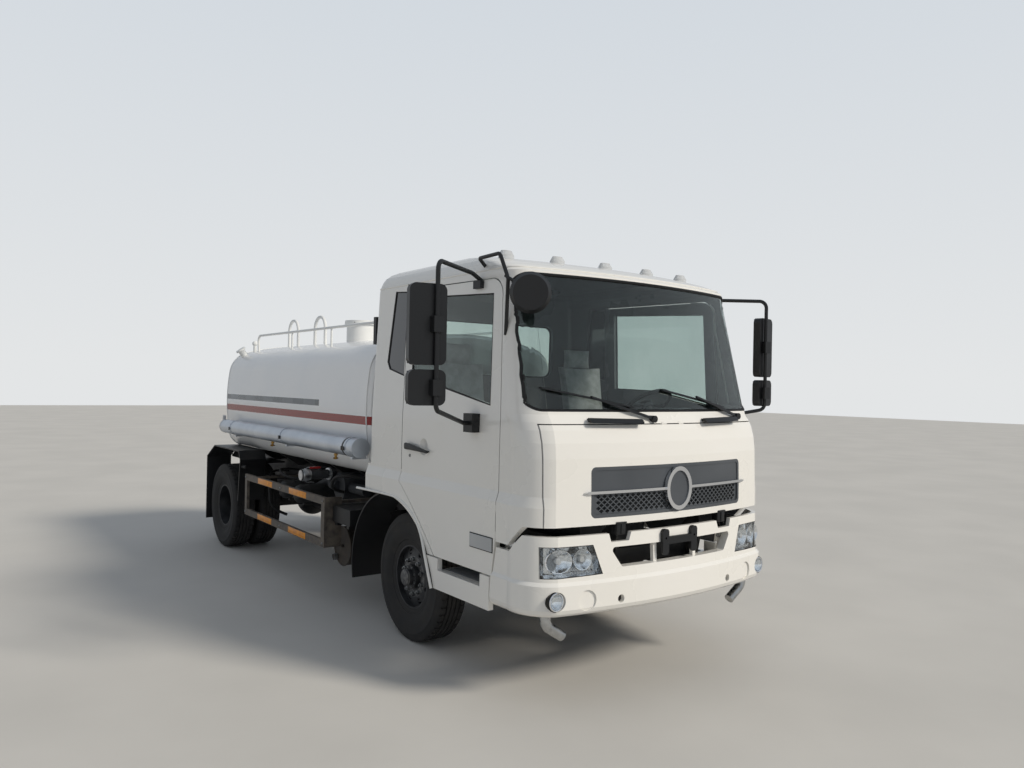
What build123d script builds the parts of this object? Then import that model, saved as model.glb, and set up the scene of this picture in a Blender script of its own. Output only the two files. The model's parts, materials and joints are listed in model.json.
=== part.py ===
"""Tank truck with a tilting cab, in millimetres.

The truck faces -Y, +Z is up and +X is its left. Everything is drawn from the centre of the front
axle on the ground, and the whole is moved at the end so that the origin lies on the ground under
the middle of its bounding box.
"""
from build123d import *
from math import cos, pi, sin, sqrt
import os

os.makedirs("parts", exist_ok=True)

# Axles and wheels
WHEELBASE = 4500
NOSE_REACH = 1930        # front axle to the bumper's nose
TAIL_REACH = 1330        # rear axle to the last point of the tail
TYRE_R = 509
TYRE_W = 259
RIM_R = 286              # rim flange
RIM_SEAT = 34            # flange to bead seat, and tyre wall to rim edge
RIM_WALL = 12
HAND_HOLES = 8
HOLE_RING = 200          # radius the hand holes lie on
HAND_HOLE_R = 24
DISC_FLAT_R = 165        # the disc is flat out to here
FRONT_TYRE_X = 930       # middle plane of a front tyre
FRONT_DISH = 62          # front disc outside the tyre's middle plane
DUAL_GAP = 51            # between twin tyres
REAR_OUTER = 1186        # outer wall of the outer rear tyre
KINGPIN_X = 765
KINGPIN_R = 19.5
STEER_ARM = 190          # kingpin to tie-rod ball
HUB_R = 38               # front spindle
SHAFT_R = 48             # rear axle tube inside the hub

# Frame
RAIL_X = 430             # outer face of a rail's web
RAIL_H = 230
RAIL_FLANGE = 75
RAIL_T = 8
RAIL_TOP = 950
RAIL_LOW = RAIL_TOP - RAIL_H
RAIL_FRONT = -1620
RAIL_BACK = WHEELBASE + 1180
FRONT_SEAT_Z = 492       # spring seats
REAR_SEAT_Z = TYRE_R + 78

# Cab
WALL = 45                # door or wall, outside to lining
GAP = 7                  # between panels that move apart
CAB_HW = 1155            # half width at the sills
WAIST_HW = 1133          # half width at the waist
CAB_BACK = 595
FENDER_BACK = 650
FENDER_WALL = 25
CAB_PART_Z = 1380        # fender and cab side meet here
FLOOR_Z = 1160
FLOOR_T = 40
PANEL_LOW = 1168         # lower edge of the front panel
DOOR_FRONT = -1334
DOOR_BACK = 0
DOOR_LOW = 792
GLASS_T = 6
GLASS_INSET = 8          # outside of the glass below the cab's skin
BACK_R = 70              # cab's rear corners in plan
ROOF_FROM = 2840
TILT_Y, TILT_Z = -1750, 1215
PIN_R = 12               # tilt pin
LUG_R = 22
LUG_T = 26
FLAP_X = 1062
FLAP_TOP = 1815
FLAP_WALL = 30
FLAP_HINGE_Y = -1827
HINGE_R = 3.2            # knuckles that lie in a panel gap
KNUCKLE = 24             # length of one knuckle

# Bumper
BUMPER_TOP = 1112
BUMPER_LOW = 600
LEDGE_Z = 805
BUMPER_WALL = 30
BUMPER_REAR = -1290
TOW_X = 535
TOW_R = 26
STEP_LOW = 560

# Tank
TANK_FRONT = 800
TANK_BACK = 4800
TANK_HW = 1060
TANK_LOW = 1130
TANK_TOP = 2540
NECK_Y = 3150
NECK_R = 165
NECK_WALL = 15
NECK_H = 240             # neck above the tank's crown
SILL_TOP = 1065

WIPERS = ((-187, 1852), (800, 1862))  # pivots in X and Z
MIRROR_TUBE = (1655, -1376)
MIRROR_BASE_Y = -1040

TOUCH = 0.3              # seat clearance between pieces
OPEN = 5                 # an inner shape runs out of its outer one by this
WIDE = 1500              # half width that takes in the whole truck

# Cab sections from low to high: z, half width, nose, crown, corner x, corner y, back
CAB_ROWS = [
    (760, CAB_HW, -1880, 105, 155, 300, CAB_BACK),
    (1290, CAB_HW, -1880, 105, 155, 300, CAB_BACK),
    (1360, WAIST_HW, -1879, 105, 133, 300, CAB_BACK),
    (1600, WAIST_HW, -1873, 106, 133, 300, CAB_BACK),
    (1700, WAIST_HW - 1, -1864, 108, 134, 296, CAB_BACK),
    (1780, WAIST_HW - 2, -1845, 112, 135, 292, CAB_BACK - 1),
    (1830, WAIST_HW - 3, -1822, 116, 136, 288, CAB_BACK - 1),
    (1880, WAIST_HW - 5, -1790, 120, 136, 280, CAB_BACK - 2),
    (ROOF_FROM, WAIST_HW - 43, -1540, 115, 130, 180, CAB_BACK - 25),
    (2885, WAIST_HW - 54, -1450, 114, 130, 180, CAB_BACK - 30),
    (2920, WAIST_HW - 69, -1350, 112, 130, 180, CAB_BACK - 36),
    (2950, WAIST_HW - 88, -1240, 110, 130, 180, CAB_BACK - 45),
    (2980, WAIST_HW - 122, -1080, 106, 130, 172, CAB_BACK - 72),
    (3005, WAIST_HW - 173, -880, 100, 130, 160, CAB_BACK - 110),
    (3022, WAIST_HW - 248, -690, 90, 126, 140, CAB_BACK - 170),
    (3032, WAIST_HW - 353, -520, 80, 120, 120, CAB_BACK - 250),
]
GRILLE_ROWS = CAB_ROWS[:5]
FLAP_ROWS = CAB_ROWS[:8]
SCREEN_ROWS = CAB_ROWS[4:9]
INNER_ROWS = CAB_ROWS[:4] + CAB_ROWS[7:9]
FENDER_ROWS = [row[:6] + (FENDER_BACK,) for row in CAB_ROWS[:3]]
FENDER_ROWS.append((CAB_PART_Z - TOUCH,) + FENDER_ROWS[-1][1:])

# Bumper and step sections: the same columns
BUMPER_ROWS = [
    (BUMPER_LOW, 1126, 62 - NOSE_REACH, 106, 152, 320, 0),
    (BUMPER_LOW + 10, 1144, 36 - NOSE_REACH, 110, 158, 320, 0),
    (BUMPER_LOW + 28, 1158, 14 - NOSE_REACH, 113, 162, 320, 0),
    (BUMPER_LOW + 54, 1166, -NOSE_REACH, 115, 165, 320, 0),
    (LEDGE_Z, 1166, -NOSE_REACH, 115, 165, 320, 0),
    (LEDGE_Z + 22, 1152, 22 - NOSE_REACH, 110, 160, 320, 0),
    (BUMPER_TOP, 1146, 38 - NOSE_REACH, 105, 158, 320, 0),
]
STEP_ROWS = [(z,) + BUMPER_ROWS[4][1:] for z in (STEP_LOW, DOOR_LOW - GAP)]

# Openings in the cab, in Y and Z or X and Z
ARCH = [(700, 1155), (250, 1155), (-575, STEP_LOW), (700, STEP_LOW)]
ARCH_ARC = {1: (-318, 955)}
SCREEN = [(-1105, 1905), (1105, 1905), (1070, 2815), (-1070, 2815)]
SCREEN_R = 90
SCREEN_REACH = [(-2100, 1850), (-1457, 1850), (-1236, 2860), (-2100, 2860)]
REAR_WINDOW = [(-830, 2150), (830, 2150), (830, 2650), (-830, 2650)]
REAR_WINDOW_R = 80
DOOR_WINDOW = [(-1212, 1925), (-1186, 2690), (-110, 2745), (-110, 2050), (-600, 2035)]
QUARTER_WINDOW = [(20, 2125), (20, 2800), (225, 2815), (310, 2240), (268, 2180)]
GRILLE = [(-745, 1215), (745, 1215), (745, 1545), (-745, 1545)]
GRILLE_R = 36
GRILLE_RIM = 22
GRILLE_MID = 1381        # chrome bar, between the plain upper half and the lattice
MESH = (47, 38)          # width and height of a diamond in the lattice
MESH_BAR = 9
BADGE = (125, 150)       # half width and half height
BADGE_RING = 29
LAMP = [(-1085, 850), (-664, 858), (-734, 1048), (-1085, 1048)]
INTAKE = [(-511, 890), (511, 890), (605, 1022), (-605, 1022)]
NOTCH = [(-450, 1056), (-595, 1056), (-612, BUMPER_TOP + 1), (-430, BUMPER_TOP + 1)]

NODES = {}


def node(name, *shapes):
    """Keep the solids of one node."""
    NODES[name] = [solid for shape in shapes for solid in shape.solids()]


# Small makers
def block(x, y, z):
    """Box between two values on each axis, given in either order."""
    spans = [sorted(pair) for pair in (x, y, z)]
    size = [high - low for low, high in spans]
    middle = [(low + high) / 2 for low, high in spans]
    return Pos(*middle) * Box(*size)


def rod(axis, span, u, v, r):
    """Round bar along an axis: u and v are the two other coordinates in XYZ order."""
    low, high = sorted(span)
    bar = Cylinder(r, high - low)
    mid = (low + high) / 2
    if axis == "X":
        return Pos(mid, u, v) * Rot(0, 90, 0) * bar
    if axis == "Y":
        return Pos(u, mid, v) * Rot(90, 0, 0) * bar
    return Pos(u, v, mid) * bar


def ring_x(x, r_out, r_in):
    """Flat ring round the wheel axis of the front axle."""
    low, high = sorted(x)
    return rod("X", (low, high), 0, TYRE_R, r_out) - rod("X", (low - OPEN, high + OPEN), 0, TYRE_R, r_in)


def tube(points, r, bend=0.0):
    """Round bar along straight runs, with arcs of one radius at its corners."""
    line = FilletPolyline(*points, radius=bend) if bend else Polyline(*points)
    section = Plane(origin=line @ 0, z_dir=line % 0) * Circle(r)
    return Part() + sweep(section, path=line)


def outline(points, arcs, plane):
    """Closed face through points; arcs maps a run's index to the middle point of its arc."""
    edges = []
    for i, start in enumerate(points):
        end = points[(i + 1) % len(points)]
        edges.append(ThreePointArc(start, arcs[i], end) if i in arcs else Line(start, end))
    return plane * make_face(Wire(edges))


XZ = Plane(origin=(0, 0, 0), x_dir=(1, 0, 0), z_dir=(0, -1, 0))


def prism_x(points, x, arcs=None):
    """Outline in Y and Z, pushed along X between two values."""
    low, high = sorted(x)
    face = outline(points, arcs or {}, Plane.YZ)
    return Pos(low, 0, 0) * extrude(face, amount=high - low, dir=(1, 0, 0))


def prism_y(points, y, arcs=None):
    """Outline in X and Z, pushed along Y between two values."""
    face = outline(points, arcs or {}, XZ)
    return Pos(0, y[0], 0) * extrude(face, amount=y[1] - y[0], dir=(0, 1, 0))


def round_y(points, y, r):
    """Outline in X and Z pushed along Y, with its corners rounded."""
    solid = prism_y(points, y)
    return fillet(solid.edges().filter_by(Axis.Y), r)


def shrunk(points, d):
    """Outline moved inwards by d towards its middle, on both axes."""
    mid_u = (min(p[0] for p in points) + max(p[0] for p in points)) / 2
    mid_v = (min(p[1] for p in points) + max(p[1] for p in points)) / 2
    return [(u - d if u > mid_u else u + d, v - d if v > mid_v else v + d) for u, v in points]


def flipped(shape):
    """Mirror image on the other side of the truck."""
    return mirror(shape, Plane.YZ)


def both(shape):
    """A piece and its mirror image."""
    return [shape, flipped(shape)]


# Plan sections and their lofts
def plan(row, inset=0.0, drop=0.0):
    """One plan section: a crowned nose, two corners, two sides and a straight back."""
    z, hw, nose, crown, rx, ry, back = row
    hw, nose, back = hw - inset, nose + inset, back - inset
    soft = 0.7 * inset
    rx, ry, rb = rx - soft, ry - soft, BACK_R - soft
    a, yc = hw - rx, nose + crown
    ys = yc + ry
    k = sqrt(0.5)
    mid = (a + rx * k, ys - ry * k)
    rear = (hw - rb + rb * k, back - rb + rb * k)
    edges = [
        ThreePointArc((-a, yc), (0, nose), (a, yc)),
        ThreePointArc((a, yc), mid, (hw, ys)),
        Line((hw, ys), (hw, back - rb)),
        ThreePointArc((hw, back - rb), rear, (hw - rb, back)),
        Line((hw - rb, back), (rb - hw, back)),
        ThreePointArc((rb - hw, back), (-rear[0], rear[1]), (-hw, back - rb)),
        Line((-hw, back - rb), (-hw, ys)),
        ThreePointArc((-hw, ys), (-mid[0], mid[1]), (-a, yc)),
    ]
    return Pos(0, 0, z - drop) * make_face(Wire(edges))


def stack(rows, inset=0.0, low=0.0):
    """Ruled loft through plan sections; an inset stack has its roof lowered by the same amount."""
    faces = [plan(row, inset, inset if row[0] > ROOF_FROM else 0.0) for row in rows]
    if low:
        faces[0] = Pos(0, 0, -low) * faces[0]
    return loft(faces, ruled=True)


def skin(rows, depth, wall):
    """Sheet of one thickness whose outside lies at a depth below the surface, open below."""
    return stack(rows, depth, OPEN if depth else 0) - stack(rows, depth + wall, 2 * OPEN)


# Cab
def door_outline(g=0.0):
    """Door in Y and Z, grown by g all round."""
    front, back, low = DOOR_FRONT - g, DOOR_BACK + g, DOOR_LOW - g
    points = [
        (front, 1850),
        (front + 42, 2640),
        (front + 160, 2790 + g),
        (back, 2812 + g),
        (back, 1290),
        (-562 + g, low),
        (-1296 - g, low),
        (front, 1030),
    ]
    arcs = {
        1: (front + 72, 2745 + g),
        4: (-255 + 0.6 * g, 1085 - 0.8 * g),
    }
    return points, arcs


def door_hinges():
    """Right door's hinge knuckles in its front gap: those of the pillar and those of the door."""
    x, y = -CAB_HW, DOOR_FRONT - GAP / 2
    pillar, door = [], []
    for z in (1050, 1225):
        for side, start, leaf_y in ((pillar, z, y - 12), (door, z + KNUCKLE + TOUCH, y + 12)):
            side.append(rod("Z", (start, start + KNUCKLE), x, y, HINGE_R))
            side.append(block((x + 2, x + 30), (y, leaf_y), (start, start + KNUCKLE)))
    return pillar, door


def flap_hinges():
    """Knuckles in the gap above the front flap: those of the cab and those of the flap."""
    y, z = FLAP_HINGE_Y, FLAP_TOP + GAP / 2
    cab_side, flap_side = [], []
    for x in (-110, 60):
        for side, start, leaf_z in ((cab_side, x, z + 12), (flap_side, x + KNUCKLE + TOUCH, z - 12)):
            side.append(rod("X", (start, start + KNUCKLE), y, z, HINGE_R))
            side.append(block((start, start + KNUCKLE), (y + 3, y + 22), (z, leaf_z)))
    return cab_side, flap_side


def cab():
    """Hollow cab split into shell, doors, front flap, fenders and panes."""
    wall = skin(CAB_ROWS, 0, WALL)
    glass = skin(CAB_ROWS, GLASS_INSET, GLASS_T)
    deep = (-2100, -1180)
    side = (-1400, -950)
    door_points, door_arcs = door_outline()
    hole_points, hole_arcs = door_outline(GAP)
    door_hole = prism_x(hole_points, side, hole_arcs)
    pillar_knuckles, door_knuckles = door_hinges()
    cab_knuckles, flap_knuckles = flap_hinges()

    door = wall & prism_x(door_points, side, door_arcs)
    door = door - prism_x(DOOR_WINDOW, side) - Pos(-CAB_HW - 50, -341, 1581) * Sphere(97)
    for knuckle in door_knuckles:
        door = door + knuckle
    door_pane = glass & prism_x(shrunk(DOOR_WINDOW, TOUCH), side)

    fender = skin(FENDER_ROWS, 0, FENDER_WALL) & block((-WIDE, -950), (-600, 700), (DOOR_LOW, CAB_PART_Z))
    fender = fender - door_hole - prism_x(ARCH, side, ARCH_ARC)

    below = block((-WIDE, WIDE), (DOOR_FRONT - GAP, 900), (700, CAB_PART_Z))
    foot = prism_x(
        [(-2100, 700), (DOOR_FRONT - GAP, 700), (DOOR_FRONT - GAP, 1030), (-1480, 1030),
         (-1620, PANEL_LOW), (-2100, PANEL_LOW)],
        (-WIDE, WIDE),
    )
    flap_hole = block((-FLAP_X - GAP, FLAP_X + GAP), (-2100, -1500), (PANEL_LOW - 200, FLAP_TOP + GAP))
    shell = wall - foot - below - flap_hole
    screen = round_y(SCREEN, deep, SCREEN_R) & prism_x(SCREEN_REACH, (-WIDE, WIDE))
    shell = shell - screen - round_y(REAR_WINDOW, (300, 700), REAR_WINDOW_R)
    quarter = prism_x(QUARTER_WINDOW, side)
    shell = shell - door_hole - flipped(door_hole) - quarter - flipped(quarter)
    for knuckle in pillar_knuckles:
        shell = shell + knuckle + flipped(knuckle)
    for knuckle in cab_knuckles:
        shell = shell + knuckle

    flap = skin(FLAP_ROWS, 0, FLAP_WALL) & block((-FLAP_X, FLAP_X), (-2100, -1500), (PANEL_LOW, FLAP_TOP))
    flap = flap - round_y(GRILLE, (-2100, -1500), GRILLE_R)
    for knuckle in flap_knuckles:
        flap = flap + knuckle

    rear_pane = glass & round_y(shrunk(REAR_WINDOW, TOUCH), (300, 700), REAR_WINDOW_R - TOUCH)
    reach = prism_x(shrunk(SCREEN_REACH, TOUCH), (-WIDE, WIDE))
    screen_pane = glass & round_y(shrunk(SCREEN, TOUCH), deep, SCREEN_R - TOUCH) & reach
    quarter_pane = glass & prism_x(shrunk(QUARTER_WINDOW, TOUCH), side)
    node("cab_shell", shell)
    node("cab_fenders", *both(fender))
    node("cab_glass", screen_pane, rear_pane)
    node("quarter_glass", *both(quarter_pane))
    node("front_flap", flap)
    node("door_right", door)
    node("door_left", flipped(door))
    node("door_glass_right", door_pane)
    node("door_glass_left", flipped(door_pane))


def grille():
    """Bezel with a plain upper half and a diamond lattice; a pointed bar and an oval ring before it."""
    deep = (-2100, -1500)
    hole = shrunk(GRILLE, TOUCH)
    inner = shrunk(hole, GRILLE_RIM)
    (x0, z0), (x1, z1) = inner[0], inner[2]
    sheet = skin(GRILLE_ROWS, 0, FLAP_WALL)
    bezel = sheet & (round_y(hole, deep, GRILLE_R - TOUCH) - round_y(inner, deep, GRILLE_R - 14))
    upper = skin(GRILLE_ROWS, 5, 12) & block((x0 - 5, x1 + 5), deep, (GRILLE_MID - 8, z1 + 5))

    wide, high = MESH
    half_w, half_h = (wide - MESH_BAR) / 2, (high - MESH_BAR) / 2
    diamond = prism_y([(-half_w, 0), (0, -half_h), (half_w, 0), (0, half_h)], deep)
    columns = int((x1 - x0) / wide)
    rows = int((GRILLE_MID - z0) / high)
    low = z0 + high / 2
    cells = [(i * wide - columns * wide / 2, low + j * high) for i in range(columns + 1) for j in range(rows)]
    cells += [(x + wide / 2, z + high / 2) for x, z in cells if x < x1 - wide and z < GRILLE_MID - high]
    lattice = block((x0 - 5, x1 + 5), deep, (z0 - 5, GRILLE_MID))
    lattice = lattice - [Pos(x, 0, z) * diamond for x, z in cells if abs(x) < x1 - wide / 2]
    lattice = skin(GRILLE_ROWS, 10, 8) & lattice

    badge_at = Pos(0, -1858, GRILLE_MID - 3) * Rot(90, 0, 0)
    inside = (BADGE[0] - BADGE_RING, BADGE[1] - BADGE_RING)
    boss = badge_at * extrude(Ellipse(inside[0] - TOUCH, inside[1] - TOUCH), amount=34)
    node("grille", bezel + upper + lattice + boss)

    tip, full = 802, 768
    band = [(-tip, GRILLE_MID), (-full, GRILLE_MID - 9), (full, GRILLE_MID - 9),
            (tip, GRILLE_MID), (full, GRILLE_MID + 9), (-full, GRILLE_MID + 9)]
    bar = skin(GRILLE_ROWS, -16, 16 - TOUCH) & prism_y(band, deep)
    ring = extrude(Ellipse(*BADGE), amount=46) - extrude(Ellipse(*inside), amount=46)
    ring = badge_at * ring - stack(GRILLE_ROWS, -TOUCH)
    hub = badge_at * extrude(Ellipse(*inside), amount=60)
    node("grille_bar", (bar - hub) + ring)


def bumper():
    """Bumper shell with pockets for lamps, openings and the blank plate bracket."""
    deep = (-2200, -1350)
    side_cut = prism_x(
        [(BUMPER_REAR - 2, BUMPER_LOW - 1), (BUMPER_REAR - 16, DOOR_LOW - 12), (-1342, 992), (-1490, 992), (-1612, BUMPER_TOP + 1), (-2200, BUMPER_TOP + 1), (-2200, BUMPER_LOW - 1)],
        (-WIDE, WIDE),
    )
    shell = skin(BUMPER_ROWS, 0, BUMPER_WALL) & side_cut
    fog = (-1010, 712, 62)
    pocket = prism_y(LAMP, deep)
    shell = shell - pocket - flipped(pocket)
    fog_hole = rod("Y", deep, fog[0], fog[1], fog[2])
    shell = shell - fog_hole - flipped(fog_hole)
    mouth = round_y(INTAKE, (-2200, -1500), 22)
    lip = round_y(shrunk(INTAKE, -12), (-2200, -1500), 30)
    shell = shell + (skin(BUMPER_ROWS, BUMPER_WALL - OPEN, 38) & lip) - mouth
    for x in (-197, 197):
        shell = shell + (skin(BUMPER_ROWS, BUMPER_WALL, 28) & block((x - 15, x + 15), deep, (880, 1030)))
    dent = skin(BUMPER_ROWS, -OPEN, OPEN + 12)
    for x in (-1, 1):
        shell = shell - rod("Y", (-2000, -1800), x * TOW_X, 690, TOW_R)
        shell = shell - (dent & rod("Y", (-2000, -1600), x * 793, 704, 66))
    notch = prism_y(NOTCH, (-2200, -1700))
    shell = shell - notch - flipped(notch)
    node("front_bumper", shell)

    lens = skin(BUMPER_ROWS, 3, 72) & prism_y(shrunk(LAMP, TOUCH), deep)
    fog_lens = skin(BUMPER_ROWS, 2, 48) & rod("Y", deep, fog[0], fog[1], fog[2] - TOUCH)
    node("front_lamps", *both(lens), *both(fog_lens))

    front = (-NOSE_REACH + 12, -NOSE_REACH + 90)
    plate = block((-150, 150), front, (1004, 1054))
    for x in (-142, 142):
        plate = plate + fillet(block((x - 30, x + 30), front, (932, 1108)).edges().filter_by(Axis.Y), 24)
        plate = plate - rod("Y", (-2000, -1800), x, 1046, 8)
    node("plate_bracket", plate - stack(BUMPER_ROWS, -TOUCH))

    low, y = 790, -1670
    pipe = tube([(-RAIL_X - TOUCH, y, low), (-995, y, low), (-985, y, 530), (-845, y, 440)], 36, 70)
    node("spray_nozzles", *both(pipe))


def cab_inside():
    """Floor, firewall and engine tunnel with the tilt lugs; seats; dashboard with its steering wheel."""
    void = stack(INNER_ROWS, WALL + TOUCH, OPEN)
    deck = FLOOR_Z + FLOOR_T
    wall_front = RAIL_FRONT - 20
    floor = void & block((-WIDE, WIDE), (RAIL_FRONT - 5, 900), (FLOOR_Z, deck))
    wall = void & block((-WIDE, WIDE), (wall_front, RAIL_FRONT), (FLOOR_Z, 1820))
    tunnel = block((-420, 420), (-1500, 380), (deck, deck + 160))
    tunnel = fillet(tunnel.edges().filter_by(Axis.Z), 60)
    shelf = void & block((-WIDE, WIDE), (130, 900), (deck, 1500))
    floor = floor + wall + tunnel + shelf
    for x in (-1, 1):
        inner, outer = x * (RAIL_X + TOUCH), x * (RAIL_X + LUG_T)
        lug = block((inner, outer), (TILT_Y, wall_front), (TILT_Z - LUG_R, TILT_Z + LUG_R))
        lug = lug + rod("X", (inner, outer), TILT_Y, TILT_Z, LUG_R)
        pin = rod("X", (x * (RAIL_X - LUG_T), outer), TILT_Y, TILT_Z, PIN_R)
        floor = floor + lug + pin
    node("cab_floor", floor)

    seats = []
    low = deck + TOUCH
    for x in (-660, 660):
        base = block((x - 180, x + 180), (-640, -240), (low, low + 300))
        cushion = fillet(block((x - 225, x + 225), (-740, -210), (low + 300, low + 430)).edges(), 40)
        back = prism_x(
            [(-250, low + 400), (-120, low + 400), (0, low + 1050), (-100, low + 1050)],
            (x - 220, x + 220),
        )
        back = fillet(back.edges(), 35)
        head = fillet(block((x - 130, x + 130), (-75, 25), (low + 1030, low + 1200)).edges(), 35)
        seats.append(base + cushion + back + head)
    node("seats", *seats)

    face = RAIL_FRONT + TOUCH
    reach = WAIST_HW - WALL - 8
    desk = prism_x(
        [(face, 1450), (-1300, 1450), (-1180, 1560), (-1180, 1760), (-1300, 1850), (face, 1850)],
        (-reach, reach),
    )
    corner = Polyline((reach, face - OPEN), (reach - 70, face - OPEN), (reach - 20, -1500), (reach, -1400), close=True)
    corner = Pos(0, 0, 1400) * extrude(make_face(corner), amount=500)
    desk = desk - corner - flipped(corner)
    wheel_x = 660
    column = tube([(wheel_x, -1200, 1600), (wheel_x, -935, 1917)], 32)
    wheel = Torus(210, 15) + Cylinder(55, 50) + Box(400, 40, 14)
    node("dashboard", desk + column + Pos(wheel_x, -935, 1917) * Rot(-37, 0, 0) * wheel)


def cab_outside():
    """Marker lamps, wipers, grab handles and the look-down mirror."""
    clear = stack(CAB_ROWS, -TOUCH)
    lamps = []
    for x in (-905, -465, 0, 465, 905):
        y = -1105 + 50 * (x / 905) ** 2
        base = Pos(x, y, 2935) * extrude(Ellipse(62, 45), amount=50)
        lamps.append(base + Pos(x, y, 2985) * extrude(Ellipse(62, 45), amount=34, taper=30) - clear)
    node("marker_lamps", *lamps)

    bits = []
    deep = (-2100, -1500)
    grip_skin, foot_skin = skin(SCREEN_ROWS, -54, 26), skin(SCREEN_ROWS, -34, 34 - TOUCH)
    arm_skin, blade_skin = skin(SCREEN_ROWS, -32, 17), skin(SCREEN_ROWS, -17, 17 + GLASS_INSET - TOUCH)
    for x in (-1, 1):
        bar = round_y([(x * 316, 1822), (x * 745, 1830), (x * 745, 1862), (x * 316, 1854)], deep, 13)
        feet = block((x * 330, x * 362), deep, (1828, 1850)) + block((x * 695, x * 727), deep, (1834, 1856))
        bits.append((grip_skin & bar) + (foot_skin & feet))
    for x, z in WIPERS:
        surface = -1808 + 118 * (x / 1000) ** 2
        pivot = rod("Y", (surface - 36, surface + 50), x, z, 24) - clear
        arm = [(x + 4, z - 9), (x + 4, z + 11), (x - 490, z + 152), (x - 490, z + 138)]
        blade = [(x - 150, 1926), (x - 150, 1938), (x - 830, 2058), (x - 830, 2046)]
        bits.append(pivot + (arm_skin & prism_y(arm, deep)) + (blade_skin & prism_y(blade, deep)))
    facing = Plane(origin=(-1100, -1600, 2660), x_dir=(0.8, -0.6, 0), z_dir=(-0.6, -0.8, -0.05))
    disc = extrude(facing * Circle(135), amount=38, taper=30)
    stay = tube(
        [(-1050, -1030, 2880), (-1150, -1080, 2935), (-1190, -1380, 2930), (-1170, -1450, 2760),
         (-1105, -1345, 2400)],
        13, 40,
    )
    stub = tube([(-1176, -1425, 2780), (-1100, -1600, 2665)], 11)
    mirror_set = (stay + stub + disc) - clear
    bits.append(max(mirror_set.solids(), key=lambda solid: solid.volume))
    node("cab_fittings", *bits)


def mirrors():
    """Door mirror: a tube from the door's top to its bracket below, with two heads."""
    x, y = MIRROR_TUBE
    base = MIRROR_BASE_Y
    run = tube(
        [(1060, base + 20, 2775), (1180, base, 2835), (x, y, 2835), (x, y, 1900),
         (1240, base - 20, 1800), (1110, base, 1800)],
        15, 60,
    )
    foot = block((1100, 1195), (base - 55, base + 55), (1735, 1865))
    cap = block((1060, 1125), (base - 20, base + 70), (2735, 2790))
    whole = run + foot + cap
    for z, height in ((2435, 510), (2040, 225)):
        head = fillet(Box(245, 62, height).edges().filter_by(Axis.Y), 45)
        whole = whole + Pos(x + 40, y + 60, z) * Rot(0, 0, 12) * head
        whole = whole + Pos(x, y + 12, z) * Box(70, 75, 100)
    whole = whole - stack(CAB_ROWS, -TOUCH)
    piece = max(whole.solids(), key=lambda solid: solid.volume)
    node("mirror_left", piece)
    node("mirror_right", flipped(piece))


# Chassis
def frame():
    """Two channel rails with crossmembers, the cab's pivot lugs and rests, and the bumper's arms."""
    side = block((RAIL_X - RAIL_T, RAIL_X), (RAIL_FRONT, RAIL_BACK), (RAIL_LOW, RAIL_TOP))
    for z in (RAIL_LOW, RAIL_TOP - RAIL_T):
        side = side + block((RAIL_X - RAIL_FLANGE, RAIL_X), (RAIL_FRONT, RAIL_BACK), (z, z + RAIL_T))
    ear = prism_x(
        [(RAIL_FRONT + 150, RAIL_LOW), (RAIL_FRONT + 150, RAIL_TOP), (RAIL_FRONT, FLOOR_Z - 60),
         (TILT_Y + LUG_R, TILT_Z), (TILT_Y - LUG_R, TILT_Z), (TILT_Y + 14, TILT_Z - 38),
         (TILT_Y + 24, RAIL_TOP), (RAIL_FRONT - 60, RAIL_LOW)],
        (RAIL_X - LUG_T, RAIL_X),
    )
    ear = ear + rod("X", (RAIL_X - LUG_T, RAIL_X), TILT_Y, TILT_Z, LUG_R)
    side = side + ear - rod("X", (RAIL_X - 2 * LUG_T, RAIL_X + LUG_T), TILT_Y, TILT_Z, PIN_R + TOUCH)
    arm = block((RAIL_X - 60, RAIL_X), (-NOSE_REACH, RAIL_FRONT + 60), (RAIL_LOW + 30, RAIL_LOW + 120))
    side = side + (arm & stack(BUMPER_ROWS, BUMPER_WALL + TOUCH, OPEN))
    rest = block((RAIL_X - 60, RAIL_X), (400, 480), (RAIL_TOP - OPEN, FLOOR_Z - TOUCH))
    side = side + rest
    whole = side + flipped(side)
    inner = RAIL_X - RAIL_T / 2
    low, high = RAIL_LOW + 110, RAIL_TOP - 12
    for y in (RAIL_FRONT + 40, 720, 1250, 2550, WHEELBASE - 620, WHEELBASE + 620, RAIL_BACK - 40):
        cross = block((-inner, inner), (y - 35, y + 35), (low, high))
        cross = cross - block((RAIL_T - inner, inner - RAIL_T), (y - 29, y + 40), (low + 6, high - 6))
        whole = whole + cross
    node("frame_rails", whole)


def leaf_pack(y0, seat, span, rise, leaves, leaf_t):
    """Leaf pack between two eyes: shorter leaves below, each an arc."""
    pack = Part()
    for i in range(leaves):
        half = span * (1 - 0.13 * i)
        base = seat + (leaves - 1 - i) * leaf_t
        end = base + rise * (half / span) ** 2
        points = [(y0 - half, end), (y0 + half, end), (y0 + half, end + leaf_t), (y0 - half, end + leaf_t)]
        arcs = {0: (y0, base), 2: (y0, base + leaf_t)}
        pack = pack + prism_x(points, (RAIL_X - 72, RAIL_X - 2), arcs)
    return pack


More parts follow.
